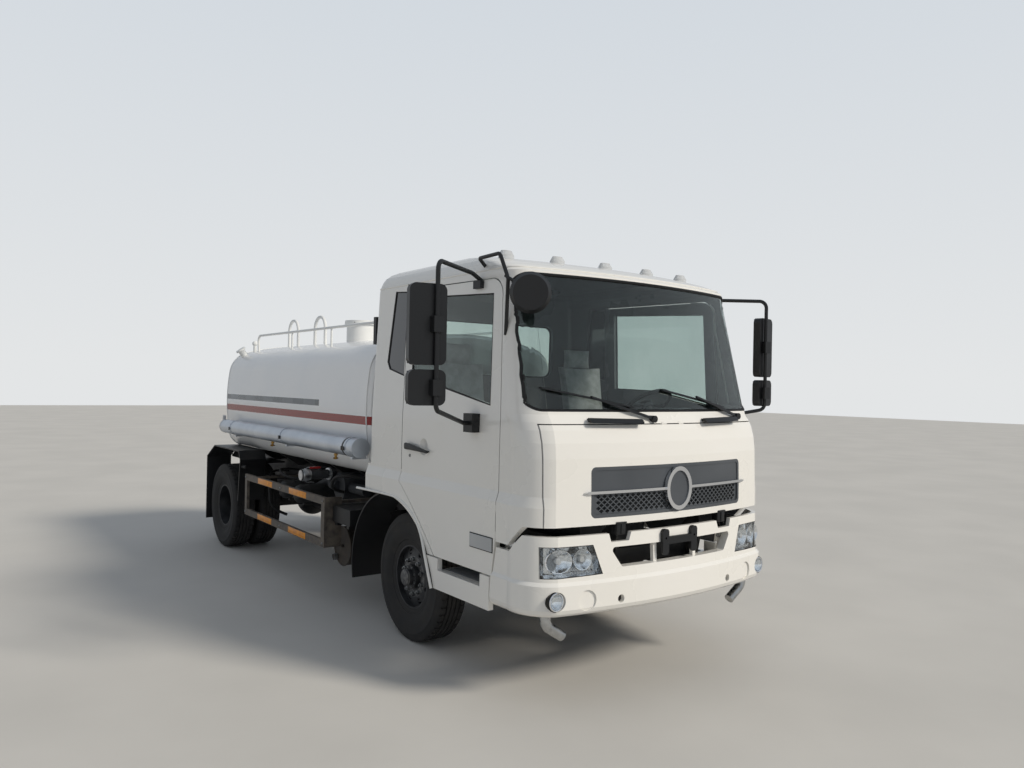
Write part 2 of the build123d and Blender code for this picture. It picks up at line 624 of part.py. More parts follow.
def springs():
    """Four leaf packs with their hangers and clamps."""
    parts = []
    leaves, leaf_t = 6, 13
    # axle y, seat z, half span, rise of the eyes
    for y0, seat_z, span, rise in ((0, FRONT_SEAT_Z, 690, 120), (WHEELBASE, REAR_SEAT_Z, 700, 30)):
        seat = seat_z + TOUCH
        pack = leaf_pack(y0, seat, span, rise, leaves, leaf_t)
        top = seat + (leaves - 1) * leaf_t + rise
        for y in (y0 - span, y0 + span):
            pack = pack + rod("X", (RAIL_X - 72, RAIL_X - 2), y, top + leaf_t / 2, 27)
            pack = pack + block((RAIL_X - 76, RAIL_X + 12), (y - 32, y + 32), (top, RAIL_LOW - TOUCH))
        for y in (y0 - 95, y0 + 95):
            pack = pack + block((RAIL_X - 84, RAIL_X + 10), (y - 9, y + 9), (seat + 5, seat + leaves * leaf_t + 22))
        parts.extend(both(pack))
    node("leaf_springs", *parts)


def axles():
    """Forged front beam, rear axle housing, and the engine's block with gearbox and propeller shaft."""
    end = KINGPIN_X - 34
    seat = FRONT_SEAT_Z
    beam = prism_y(
        [(-end, 470), (-560, 452), (-480, 402), (480, 402), (560, 452), (end, 470),
         (end, 545), (560, 530), (480, seat), (-480, seat), (-560, 530), (-end, 545)],
        (-45, 45),
    )
    groove = prism_y([(-520, 425), (520, 425), (500, seat - 24), (-500, seat - 24)], (-60, -14))
    beam = beam - groove - mirror(groove, Plane.XZ)
    for x in (-KINGPIN_X, KINGPIN_X):
        beam = beam + rod("Z", (460, 556), x, 0, 34)
    for x in (-KINGPIN_X, KINGPIN_X):
        beam = beam - rod("Z", (400, 600), x, 0, KINGPIN_R + 0.5)
    node("front_axle", beam)

    y = WHEELBASE
    housing = rod("X", (-690, 690), y, TYRE_R, 62)
    bowl = Pos(0, y, TYRE_R) * Sphere(205) & block((-175, 175), (y - 240, y + 240), (0, 900))
    nose_y = y - 420
    housing = housing + bowl + rod("Y", (nose_y, y - 150), 0, TYRE_R, 95)
    for s in (-1, 1):
        housing = housing + rod("X", (s * 680, s * 730), y, TYRE_R, 150)
        housing = housing + rod("X", (s * 700, s * 1010), y, TYRE_R, SHAFT_R)
        seat_x = (s * (RAIL_X - 80), s * (RAIL_X + 8))
        housing = housing + block(seat_x, (y - 60, y + 60), (TYRE_R, REAR_SEAT_Z))
    node("rear_axle", housing)

    box_end, box_z, mid_y, mid_z = 640, 760, 1250, 735
    line = block((-330, 330), (-1250, -90), (640, 1080))
    line = line + block((-200, 200), (-1150, -120), (560, 640))
    line = line + block((-210, 210), (-90, box_end), (600, 1000))
    line = line + rod("Y", (box_end - 5, box_end + 70), 0, box_z, 62)
    line = line + tube([(0, box_end + 40, box_z), (0, mid_y, mid_z)], 42)
    line = line + rod("Y", (mid_y - 35, mid_y + 35), 0, mid_z, 68)
    line = line + block((-60, 60), (mid_y - 20, mid_y + 20), (mid_z, RAIL_LOW + 110 - TOUCH))
    line = line + tube([(0, mid_y, mid_z), (0, nose_y - 60, TYRE_R)], 42)
    line = line + rod("Y", (nose_y - 75, nose_y - TOUCH), 0, TYRE_R, 60)
    node("engine_and_shaft", line)


# Wheels
def tyre(x):
    """Revolved tyre whose middle plane is at x."""
    h = TYRE_W / 2
    bead = RIM_R - RIM_SEAT
    # radius and distance along the axle, from the bead out to the tread
    side = [(bead, RIM_SEAT - h), (RIM_R + 5, 30 - h), (395, -h), (TYRE_R - 41, 6 - h), (TYRE_R, 32 - h)]
    points = side + [(r, -w) for r, w in reversed(side)]
    arcs = {
        1: (335, 6 - h),
        3: (TYRE_R - 14, 16 - h),
        5: (TYRE_R - 14, h - 16),
        7: (335, h - 6),
    }
    # the drawing's X is the radius and its Y runs along the axle
    across = Plane(origin=(x, 0, TYRE_R), x_dir=(0, 0, 1), z_dir=(0, -1, 0))
    return revolve(outline(points, arcs, across), axis=Axis((x, 0, TYRE_R), (1, 0, 0)))


def rim(x, disc_x, edge_x):
    """Rim barrel and a dished disc: flat at disc_x, out to the barrel at edge_x, with hand holes."""
    h = TYRE_W / 2 - RIM_SEAT - TOUCH
    bead = RIM_R - RIM_SEAT - TOUCH
    # radius and distance along the axle
    dish = [(0, disc_x - 7), (DISC_FLAT_R, disc_x - 7), (bead - 6, edge_x - 7), (bead - 6, edge_x + 7),
            (DISC_FLAT_R, disc_x + 7), (0, disc_x + 7)]
    across = Plane(origin=(0, 0, TYRE_R), x_dir=(0, 0, 1), z_dir=(0, 1, 0))
    disc = revolve(outline(dish, {}, across), axis=Axis((0, 0, TYRE_R), (1, 0, 0)))
    for i in range(HAND_HOLES):
        a = 2 * pi * (i + 0.5) / HAND_HOLES
        disc = disc - rod("X", (x - h, x + h), HOLE_RING * cos(a), TYRE_R + HOLE_RING * sin(a), HAND_HOLE_R)
    return ring_x((x - h, x + h), bead, bead - RIM_WALL) + disc


def front_wheels():
    """Tyres, rims with hub and drum, knuckles and the tie rod."""
    left = tyre(FRONT_TYRE_X)
    node("front_tyre_left", left)
    node("front_tyre_right", flipped(left))
    disc_x = FRONT_TYRE_X + FRONT_DISH
    spindle_end = disc_x + 55
    wheel = rim(FRONT_TYRE_X, disc_x, disc_x - 20)
    wheel = wheel + rod("X", (disc_x - 110, disc_x + 45), 0, TYRE_R, 95)
    wheel = wheel + rod("X", (disc_x + 40, disc_x + 95), 0, TYRE_R, 62)
    wheel = wheel + ring_x((822, disc_x - 5), 205, 190) + rod("X", (905, 917), 0, TYRE_R, 200)
    wheel = wheel - rod("X", (700, spindle_end + 5), 0, TYRE_R, HUB_R + TOUCH)
    node("front_rim_left", wheel)
    node("front_rim_right", flipped(wheel))

    x = KINGPIN_X
    arm_top = 428
    knuckle = rod("X", (x + 44, spindle_end), 0, TYRE_R, HUB_R)
    knuckle = knuckle + rod("X", (x + 42, x + 50), 0, TYRE_R, 180)
    yoke = block((x - 42, x + 48), (-45, 45), (395, 625)) - block((x - 60, x + 40), (-60, 60), (458, 558))
    knuckle = knuckle + yoke + rod("Z", (400, 620), x, 0, KINGPIN_R)
    knuckle = knuckle + block((x - 22, x + 22), (0, STEER_ARM + 25), (400, arm_top))
    knuckle = knuckle + rod("Z", (arm_top - 5, arm_top + 12), x, STEER_ARM, 10)
    node("knuckle_left", knuckle)
    node("knuckle_right", flipped(knuckle))
    link = rod("X", (15 - x, x - 15), STEER_ARM, 445, 17)
    for ball_x in (-x, x):
        link = link + rod("Z", (arm_top + TOUCH, 465), ball_x, STEER_ARM, 26)
        link = link - rod("Z", (arm_top - 5, arm_top + 13), ball_x, STEER_ARM, 10.5)
    node("tie_rod", link)


def rear_wheels():
    """Twin tyres on two rims with one hub and drum."""
    outer_x = REAR_OUTER - TYRE_W / 2
    inner_x = outer_x - TYRE_W - DUAL_GAP
    mate = (inner_x + outer_x) / 2
    pair = [Pos(0, WHEELBASE, 0) * tyre(x) for x in (inner_x, outer_x)]
    node("rear_tyres_left", *pair)
    node("rear_tyres_right", *[flipped(one) for one in pair])
    reach = TYRE_W / 2 - RIM_SEAT - 25
    rims = rim(outer_x, mate + 7, outer_x - reach) + rim(inner_x, mate - 7, inner_x + reach)
    rims = rims + rod("X", (mate - 150, mate + 110), 0, TYRE_R, 118)
    rims = rims + rod("X", (mate + 100, mate + 135), 0, TYRE_R, 80)
    rims = rims + ring_x((760, mate), 205, 188)
    rims = rims - rod("X", (700, 1020), 0, TYRE_R, SHAFT_R + TOUCH)
    rims = Pos(0, WHEELBASE, 0) * rims
    node("rear_rims_left", rims)
    node("rear_rims_right", flipped(rims))


# Tank
def tank_section(grow=0.0):
    """Tank's section in X and Z: crowned top and bottom, round corners, bowed sides."""
    hw, top, low = TANK_HW + grow, TANK_TOP + grow, TANK_LOW - grow
    cx, bow = hw - 215, 28
    crown, shoulder = 120, 360
    keel, bilge = 95, 330
    points = [
        (-cx, top - crown), (cx, top - crown), (hw - bow, top - shoulder), (hw - bow, low + bilge),
        (cx, low + keel), (-cx, low + keel), (bow - hw, low + bilge), (bow - hw, top - shoulder),
    ]
    arcs = {
        0: (0, top),
        1: (hw - 85, top - 222),
        2: (hw, (top + low) / 2),
        3: (hw - 78, low + 178),
        4: (0, low),
        5: (78 - hw, low + 178),
        6: (-hw, (top + low) / 2),
        7: (85 - hw, top - 222),
    }
    return points, arcs


def tank_prism(y, grow=0.0):
    """The tank's section pushed along Y."""
    points, arcs = tank_section(grow)
    return prism_y(points, y, arcs)


def tank():
    """Closed vessel with domed ends, on saddles along the frame."""
    shell = tank_prism((TANK_FRONT, TANK_BACK))
    # inset of the section and its distance out of the barrel
    domes = ((0, 0), (30, 38), (130, 66), (330, 82))
    for y, out in ((TANK_FRONT, -1), (TANK_BACK, 1)):
        faces = []
        for inset, reach in domes:
            points, arcs = tank_section(-inset)
            faces.append(Pos(0, y + out * reach, 0) * outline(points, arcs, XZ))
        shell = shell + loft(faces, ruled=True)
    node("tank_shell", shell)

    vessel = tank_prism((TANK_FRONT - 50, TANK_BACK + 50), TOUCH)
    mounts = Part()
    for x in (-1, 1):
        sill_x = (x * (RAIL_X - 74), x * (RAIL_X - 2))
        mounts = mounts + block(sill_x, (850, RAIL_BACK - 350), (RAIL_TOP + TOUCH, SILL_TOP))
    saddle = [(-500, SILL_TOP - 20), (500, SILL_TOP - 20), (780, 1230), (-780, 1230)]
    for y in (1000, 1640, 2300, 3050, 3800, 4600):
        mounts = mounts + prism_y(saddle, (y - 40, y + 40))
    node("tank_mounts", mounts - vessel)


def tank_top():
    """Filler neck with its lid, vents, hand rails and ladder hoops."""
    vessel = tank_prism((TANK_FRONT, TANK_BACK), TOUCH)
    top = TANK_TOP + NECK_H
    hinge_y, hinge_z = NECK_Y + 218, top + 16
    neck = rod("Z", (TANK_TOP - 150, top), 0, NECK_Y, NECK_R)
    neck = neck + rod("Z", (top - 25, top), 0, NECK_Y, NECK_R + 25)
    neck = neck - rod("Z", (TANK_TOP - 200, top + 50), 0, NECK_Y, NECK_R - NECK_WALL) - vessel
    for x in (-1, 1):
        ear = block((x * 28, x * 40), (NECK_Y + 170, hinge_y + 14), (top - 25, top))
        ear = ear + block((x * 28, x * 40), (hinge_y - 14, hinge_y + 14), (top - 5, hinge_z + 14))
        neck = neck + ear
    neck = neck + rod("X", (-40, 40), hinge_y, hinge_z, 6)
    lid_z = (top + TOUCH, top + 22)
    lid = rod("Z", lid_z, 0, NECK_Y, NECK_R + 21)
    lid = lid + block((-24, 24), (NECK_Y + 150, hinge_y), (hinge_z - 12, hinge_z + 6))
    lid = lid + rod("X", (-24, 24), hinge_y, hinge_z, 12) - rod("X", (-40, 40), hinge_y, hinge_z, 6 + TOUCH)
    node("tank_lid", lid)

    vent = Cylinder(42, 190) + Pos(0, 0, 90) * Cylinder(62, 22)
    vent = Pos(-905, TANK_BACK - 180, TANK_TOP - 160) * Rot(0, -35, 0) * vent
    valve = Pos(-790, TANK_BACK - 220, TANK_TOP - 50) * (Cylinder(20, 150) + Pos(0, 0, 50) * Sphere(34))
    rails = []
    rail_z, root_z = TANK_TOP + 95, TANK_TOP - 150
    for x in (-787, 787):
        back, front = TANK_BACK - 370, 1120
        rail = tube(
            [(x, back, root_z), (x, back + 30, rail_z), (x, front + 30, rail_z), (x, front, root_z)], 14, 70,
        )
        for y in (2200, 3300):
            rail = rail + tube([(x, y, root_z), (x, y, rail_z)], 11)
        rails.append(rail - vessel)
    hoop_z = TANK_TOP + 290
    for y in (3300, 4130):
        hoop = tube(
            [(-450, y - 150, TANK_TOP - 90), (-450, y - 150, hoop_z), (-450, y + 150, hoop_z),
             (-450, y + 150, TANK_TOP - 90)],
            18, 140,
        )
        rails.append(hoop - vessel)
    node("tank_fittings", neck, vent - vessel, valve - vessel, *rails)


def hose_tubes():
    """Suction-hose tube on each side, on brackets from the tank's flank."""
    vessel = tank_prism((TANK_FRONT, TANK_BACK), TOUCH)
    pipes = []
    straps = (870, 2450, 4120)
    for s in (-1, 1):
        x, z, r = s * 1150, 1492, 82
        pipe = rod("Y", (720, 4530), x, z, r) + rod("Y", (708, 730), x, z, r + 6)
        for y in straps:
            pipe = pipe + rod("Y", (y - 14, y + 14), x, z, r + 5)
            pipe = pipe + block((s * 1000, s * 1160), (y - 20, y + 20), (z - r - 25, z - r + 15))
        pipes.append(pipe - vessel)
    node("hose_tubes", *pipes)


# Underside and equipment
RAIL_SIDE = RAIL_X + TOUCH


def guards():
    """Side guards, mudguards and the steps below the doors."""
    parts = []
    front, back = 1360, WHEELBASE - 880
    for s in (-1, 1):
        x = (s * 1165, s * 1195)
        guard = block((s * 1020, s * 1195), (front - 8, front + 6), (522, 988))
        for z in (522, 918):
            guard = guard + block(x, (front, back), (z, z + 70))
        for y in (front, back - 70):
            guard = guard + block(x, (y, y + 70), (522, 988))
            guard = guard + block((s * RAIL_SIDE, s * 1180), (y + 10, y + 60), (925, 948))
        parts.append(guard)
    node("side_guards", *parts)

    parts = []
    y = WHEELBASE
    for s in (-1, 1):
        arch = prism_x(
            [(y - 640, 640), (y - 700, 1130), (y - 640, 1235), (y + 330, 1235), (y + 640, 1080),
             (y + 640, 1066), (y + 325, 1221), (y - 630, 1221), (y - 686, 1130), (y - 626, 640)],
            (s * 892, s * 1200),
        )
        arch = arch + block((s * 892, s * 1200), (y + 638, y + 650), (260, 1080))
        for stay_y in (y - 690, y + 648):
            arch = arch + block((s * RAIL_SIDE, s * 905), (stay_y, stay_y + 30), (880, 930))
        arch = arch + block((s * 892, s * 905), (y - 690, y - 660), (880, 1150))
        arch = arch + block((s * 892, s * 905), (y - 560, y + 560), (1062, 1100))
        arch = arch + prism_x([(y - 560, 1062), (y + 560, 1062), (y + 330, 1230), (y - 600, 1230)], (s * 892, s * 905))
        arch = arch + block((s * 600, s * 905), (y - 560, y + 560), (1062, 1077))
        parts.append(arch)
        front = prism_x([(420, 1138), (905, 330), (893, 330), (420, 1126)], (s * 790, s * 1115),
                        {0: (808, 860), 2: (797, 853)})
        front = front + block((s * RAIL_SIDE, s * 810), (742, 770), (880, 920))
        parts.append(front)
    node("mudguards", *parts)

    parts = []
    sheet = skin(STEP_ROWS, 0, 40)
    for s in (-1, 1):
        outer = (s * 900, s * 1300)
        zone = block(outer, (BUMPER_REAR + TOUCH, -400), (STEP_LOW, DOOR_LOW - GAP)) - prism_x(ARCH, outer, ARCH_ARC)
        step = (sheet & zone) - block(outer, (-1180, -630), (700, DOOR_LOW))
        step = step + block((s * 860, s * 1135), (-1250, -610), (680, 700))
        step = step + block((s * RAIL_SIDE, s * 900), (-950, -880), (RAIL_LOW + 10, RAIL_LOW + 60))
        step = step + block((s * 860, s * 900), (-950, -880), (680, RAIL_LOW + 60))
        parts.append(step)
    node("step_panels", *parts)


def equipment():
    """Silencer, boxes, fuel tank, pump, air intake and the tail."""
    muffler = rod("X", (-960, -380), 1430, 505, 185) + rod("X", (-1000, -380), 1560, 380, 32)
    muffler = muffler + block((-700, -660), (1410, 1450), (680, 760))
    muffler = muffler + block((-700, -RAIL_SIDE), (1410, 1450), (730, 770))
    node("muffler", muffler)

    battery = block((-1120, -640), (960, 1330), (770, 915))
    for y in (1000, 1250):
        battery = battery + block((-1110, -RAIL_SIDE), (y, y + 50), (740, 770))
    node("battery_box", battery)

    fuel = fillet(block((560, 1090), (1450, 2350), (470, 900)).edges().filter_by(Axis.Y), 110)
    for y in (1620, 2180):
        fuel = fuel + block((RAIL_SIDE, 1000), (y - 25, y + 25), (440, 471))
        fuel = fuel + block((RAIL_SIDE, RAIL_X + 40), (y - 25, y + 25), (440, 760))
        fuel = fuel + block((RAIL_X + 30, 570), (y - 25, y + 25), (640, 700))
    node("fuel_tank", fuel)

    pump_x, pipe_z = -RAIL_X - 45, 1120
    pump = rod("X", (-780, pump_x), 1950, 1000, 140)
    pump = pump + rod("X", (pump_x - 5, -RAIL_SIDE), 1950, 900, 60)
    pump = pump + rod("Z", (1000, pipe_z), -790, 2090, 48) + rod("Y", (1950, 2100), -790, 1010, 48)
    pump = pump + rod("X", (-1120, -760), 2090, pipe_z, 45) + rod("X", (-1135, -1100), 2090, pipe_z, 58)
    pump = pump + rod("X", (-830, -812), 2090, pipe_z, 70) + rod("Z", (pipe_z, 1190), -930, 2090, 14)
    pump = pump + block((-1040, -860), (2078, 2102), (1185, 1195))
    hose = tube([(-700, 1480, 1000), (-700, 1900, 1000)], 50)
    suction = tube([(-640, 2060, 1000), (-640, 2500, 1000), (-640, 2900, 860), (-640, 3300, 860)], 50, 160)
    node("water_pump", pump + hose + suction)

    duct_y = (FENDER_BACK + 10, FENDER_BACK + 58)
    intake = block((-980, -860), duct_y, (1590, 2420)) + block((-1050, -860), duct_y, (2400, 2640))
    for z in range(1440, 1590, 25):
        intake = intake + block((-984, -856), (duct_y[0] - 2, duct_y[1] + 2), (z, z + 15))
    intake = intake + block((-972, -868), (duct_y[0] + 5, duct_y[1] - 5), (1420, 1600))
    intake = intake + block((-940, -660), (625, duct_y[1] - 4), (1100, 1430))
    intake = intake + block((-990, -900), (duct_y[0], duct_y[1] - 4), (1398, 1430))
    intake = intake + block((-700, -RAIL_SIDE), (625, 685), (860, 900))
    intake = intake + block((-700, -660), (625, 685), (860, 1110))
    node("air_intake", intake)

    tail = WHEELBASE + TAIL_REACH
    bar = block((-980, 980), (tail - 60, tail), (480, 600))
    for s in (-1, 1):
        bar = bar + block((s * (RAIL_X - 60), s * (RAIL_X + 20)), (RAIL_BACK + TOUCH, tail - 50), (500, 900))
    node("rear_underrun", bar)
    node("tail_lamps", *both(block((560, 940), (tail - 59, tail - 20), (600 + TOUCH, 720))))


cab()
grille()
bumper()
cab_inside()
cab_outside()
mirrors()
frame()
springs()
axles()
front_wheels()
rear_wheels()
tank()
tank_top()
hose_tubes()
guards()
equipment()

SHIFT = (NOSE_REACH - WHEELBASE - TAIL_REACH) / 2
for old in os.listdir("parts"):
    if old.endswith(".step") and old[:-5] not in NODES:
        os.remove(os.path.join("parts", old))
for name, solids in NODES.items():
    shape = solids[0] if len(solids) == 1 else Compound(solids)
    export_step(Pos(0, SHIFT, 0) * shape, os.path.join("parts", name + ".step"))
print(len(NODES), "nodes")
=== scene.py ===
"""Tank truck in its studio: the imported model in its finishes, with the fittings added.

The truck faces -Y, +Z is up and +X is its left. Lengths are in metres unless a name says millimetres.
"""
import json
import logging
import math
from collections.abc import Callable, Iterator, Sequence
from contextlib import contextmanager
from dataclasses import dataclass
from enum import Enum

import bmesh
import bpy
from mathutils import Matrix, Vector

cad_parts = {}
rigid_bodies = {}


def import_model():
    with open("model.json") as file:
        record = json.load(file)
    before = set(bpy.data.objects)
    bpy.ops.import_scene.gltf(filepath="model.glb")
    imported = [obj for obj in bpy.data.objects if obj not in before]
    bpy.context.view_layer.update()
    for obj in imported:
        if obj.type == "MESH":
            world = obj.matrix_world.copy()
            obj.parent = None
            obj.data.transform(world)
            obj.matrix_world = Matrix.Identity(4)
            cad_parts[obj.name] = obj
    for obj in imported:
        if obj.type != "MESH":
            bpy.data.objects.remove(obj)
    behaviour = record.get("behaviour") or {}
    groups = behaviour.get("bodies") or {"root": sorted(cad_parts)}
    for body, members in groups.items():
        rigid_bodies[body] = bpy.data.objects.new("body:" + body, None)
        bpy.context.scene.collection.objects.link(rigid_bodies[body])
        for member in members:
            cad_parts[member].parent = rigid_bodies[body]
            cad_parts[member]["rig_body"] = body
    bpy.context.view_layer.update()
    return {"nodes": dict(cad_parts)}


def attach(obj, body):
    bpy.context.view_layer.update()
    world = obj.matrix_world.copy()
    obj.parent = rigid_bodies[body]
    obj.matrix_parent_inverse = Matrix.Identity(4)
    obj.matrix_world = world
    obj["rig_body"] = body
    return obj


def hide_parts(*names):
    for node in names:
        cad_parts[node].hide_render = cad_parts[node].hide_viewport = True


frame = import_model()

Place = tuple[float, float, float]
Pair = tuple[float, float]
Section = tuple[Pair, ...]
Box = tuple[Place, Place, float]
Piece = bpy.types.Object
Tree = bpy.types.NodeTree
Socket = bpy.types.NodeSocket
Face = bmesh.types.BMFace

LOG = logging.getLogger("tank_truck")
MM = 0.001
SMOOTH_ANGLE = math.radians(32)
ORIGIN: Place = (0.0, 0.0, 0.0)
LEFT: Place = (1.0, 0.0, 0.0)
AFT: Place = (0.0, 1.0, 0.0)
UP: Place = (0.0, 0.0, 1.0)
MIRRORED = Matrix.Scale(-1, 4, LEFT)
SIDES = {"left": 1, "right": -1}
AXLE_Y = {"front": -1.950, "rear": 2.550}
AXLE_Z = 0.509
BESIDE = 1.5            # x of a point clear of the left flank
IN_FRONT = -4.2         # y of a point clear of the front


# Colour and shader nodes
def linear(colour: str) -> tuple[float, float, float, float]:
    """Turn an sRGB hex colour into linear light.

    Args:
        colour: six hex digits after a hash mark.

    Returns:
        Red, green, blue and an alpha of 1.
    """
    parts = [int(colour[i:i + 2], 16) / 255 for i in (1, 3, 5)]
    light = [c / 12.92 if c <= 0.04045 else ((c + 0.055) / 1.055) ** 2.4 for c in parts]
    return light[0], light[1], light[2], 1.0


def feed(tree: Tree, made: bpy.types.Node, inputs: dict) -> None:
    """Set a node's inputs.

    Args:
        tree: the node tree.
        made: the node.
        inputs: for each input socket, its value or the output socket that feeds it.
    """
    for key, value in inputs.items():
        if isinstance(value, Socket):
            tree.links.new(value, made.inputs[key])
        else:
            made.inputs[key].default_value = value


def add_node(tree: Tree, kind: str, inputs: dict | None = None, out: str | int = 0, **settings: object) -> Socket:
    """Add one shader node.

    Args:
        tree: the node tree it goes into.
        kind: the node's type name.
        inputs: for each input socket, its value or the output socket that feeds it.
        out: which output is wanted.
        settings: the node's own settings.

    Returns:
        The wanted output.
    """
    made = tree.nodes.new(kind)
    for key, value in settings.items():
        setattr(made, key, value)
    feed(tree, made, inputs or {})
    return made.outputs[out]


@dataclass(frozen=True)
class Finish:
    """One real finish: its shader values, the drift of its tone and the grain of its surface.

    The two tones are sRGB, the sizes are in millimetres, and draw stretches the grain along an axis.
    """

    name: str
    tones: tuple[str, str]
    rough: Pair
    metallic: float = 0.0
    coat: float = 0.0
    coat_rough: float = 0.05
    ior: float = 1.5
    clear: float = 0.0
    patch_mm: float = 600.0
    grain_mm: float = 3.0
    relief_mm: float = 0.02
    draw: Place = (1.0, 1.0, 1.0)
    patch_edges: Pair = (0.35, 0.65)
    thinned_shadow: float = 0.9

    def material(self) -> bpy.types.Material:
        """Give the finish's material, made on first use."""
        return bpy.data.materials.get(self.name) or self.mixed()

    def mixed(self) -> bpy.types.Material:
        """Make the material: tone and roughness drift in patches, and the grain is a bump.

        Returns:
            The new material.
        """
        made = bpy.data.materials.new(self.name)
        made.use_nodes = True
        tree = made.node_tree
        where = add_node(tree, "ShaderNodeTexCoord", out="Object")
        patches = add_node(tree, "ShaderNodeTexNoise", {"Vector": where, "Scale": 1000 / self.patch_mm, "Detail": 4.0})
        low, high = self.patch_edges
        span = add_node(tree, "ShaderNodeMapRange", {"Value": patches, "From Min": low, "From Max": high})
        first, second = (linear(tone) for tone in self.tones)
        tone = add_node(tree, "ShaderNodeMixRGB", {"Fac": span, "Color1": first, "Color2": second})
        low, high = self.rough
        inputs = {
            "Roughness": add_node(tree, "ShaderNodeMapRange", {"Value": span, "To Min": low, "To Max": high}),
            "Base Color": self.coloured(tree, where, tone),
            "Metallic": self.metallic, "Coat Weight": self.coat, "Coat Roughness": self.coat_rough,
        }
        if self.relief_mm:
            drawn_out = add_node(tree, "ShaderNodeMapping", {"Vector": where, "Scale": self.draw})
            grain = add_node(
                tree, "ShaderNodeTexNoise", {"Vector": drawn_out, "Scale": 1000 / self.grain_mm, "Detail": 3.0}
            )
            inputs["Normal"] = add_node(tree, "ShaderNodeBump", {"Height": grain, "Distance": self.relief_mm * MM})
        if not self.metallic:
            inputs["IOR"] = self.ior
        if self.clear:
            thin = 1.0 - self.thinned_shadow * self.clear
            shadow = add_node(tree, "ShaderNodeLightPath", out="Is Shadow Ray")
            inputs["Transmission Weight"] = self.clear
            inputs["Alpha"] = add_node(tree, "ShaderNodeMapRange", {"Value": shadow, "To Min": 1.0, "To Max": thin})
        feed(tree, tree.nodes["Principled BSDF"], inputs)
        return made

    def coloured(self, tree: Tree, where: Socket, tone: Socket) -> Socket:
        """Give the surface's colour, here the drifting tone alone."""
        return tone


@dataclass(frozen=True)
class StripedPaint(Finish):
    """Tank paint with a red stripe and a row of dark reflecting sheets along each flank."""

    red: str = "#8C0410"
    sheets: tuple[str, str] = ("#5E6469", "#4C5257")
    red_z: Pair = (1.690, 1.765)
    sheet_z: Pair = (1.828, 1.890)
    sheet_y: Pair = (-0.10, 2.84)
    sheet_length: float = 0.30
    flank_x: float = 0.92

    def coloured(self, tree: Tree, where: Socket, tone: Socket) -> Socket:
        """Lay the stripes over the paint's tone.

        Args:
            tree: the node tree.
            where: the point on the object.
            tone: the paint's own colour.

        Returns:
            The colour with both stripes.
        """
        axes = add_node(tree, "ShaderNodeSeparateXYZ", {"Vector": where}).node.outputs
        side = add_node(tree, "ShaderNodeMath", {0: axes["X"]}, operation="ABSOLUTE")
        flank = add_node(tree, "ShaderNodeMath", {0: side, 1: self.flank_x}, operation="GREATER_THAN")
        count = add_node(tree, "ShaderNodeMath", {0: axes["Y"], 1: 2 * self.sheet_length}, operation="DIVIDE")
        part = add_node(tree, "ShaderNodeMath", {0: count}, operation="FRACT")
        second = add_node(tree, "ShaderNodeMath", {0: part, 1: 0.5}, operation="GREATER_THAN")
        first_tone, second_tone = (linear(sheet) for sheet in self.sheets)
        sheet = add_node(tree, "ShaderNodeMixRGB", {"Fac": second, "Color1": first_tone, "Color2": second_tone})
        for colour, bands in ((linear(self.red), {"Z": self.red_z}),
                              (sheet, {"Z": self.sheet_z, "Y": self.sheet_y})):
            mask = flank
            for axis, (low, high) in bands.items():
                span = {0: axes[axis], 1: (low + high) / 2, 2: (high - low) / 2}
                band = add_node(tree, "ShaderNodeMath", span, operation="COMPARE")
                mask = add_node(tree, "ShaderNodeMath", {0: mask, 1: band}, operation="MULTIPLY")
            tone = add_node(tree, "ShaderNodeMixRGB", {"Fac": mask, "Color1": tone, "Color2": colour})
        return tone


@dataclass(frozen=True)
class LinedPaint(Finish):
    """Cab paint whose faces turned towards the inside of the cab show the grey lining."""

    lining: str = "#5A5D61"
    middle: Place = (0.0, -2.45, 2.05)

    def coloured(self, tree: Tree, where: Socket, tone: Socket) -> Socket:
        """Show the lining where a face is turned to the middle of the cab.

        Args:
            tree: the node tree.
            where: the point on the object.
            tone: the paint's own colour.

        Returns:
            The colour on either side.
        """
        out = add_node(tree, "ShaderNodeVectorMath", {0: where, 1: self.middle}, operation="SUBTRACT")
        facing = add_node(tree, "ShaderNodeNewGeometry", out="True Normal")
        lean = add_node(tree, "ShaderNodeVectorMath", {0: out, 1: facing}, "Value", operation="DOT_PRODUCT")
        inside = add_node(tree, "ShaderNodeMath", {0: lean, 1: 0.0}, operation="LESS_THAN")
        return add_node(tree, "ShaderNodeMixRGB", {"Fac": inside, "Color1": tone, "Color2": linear(self.lining)})


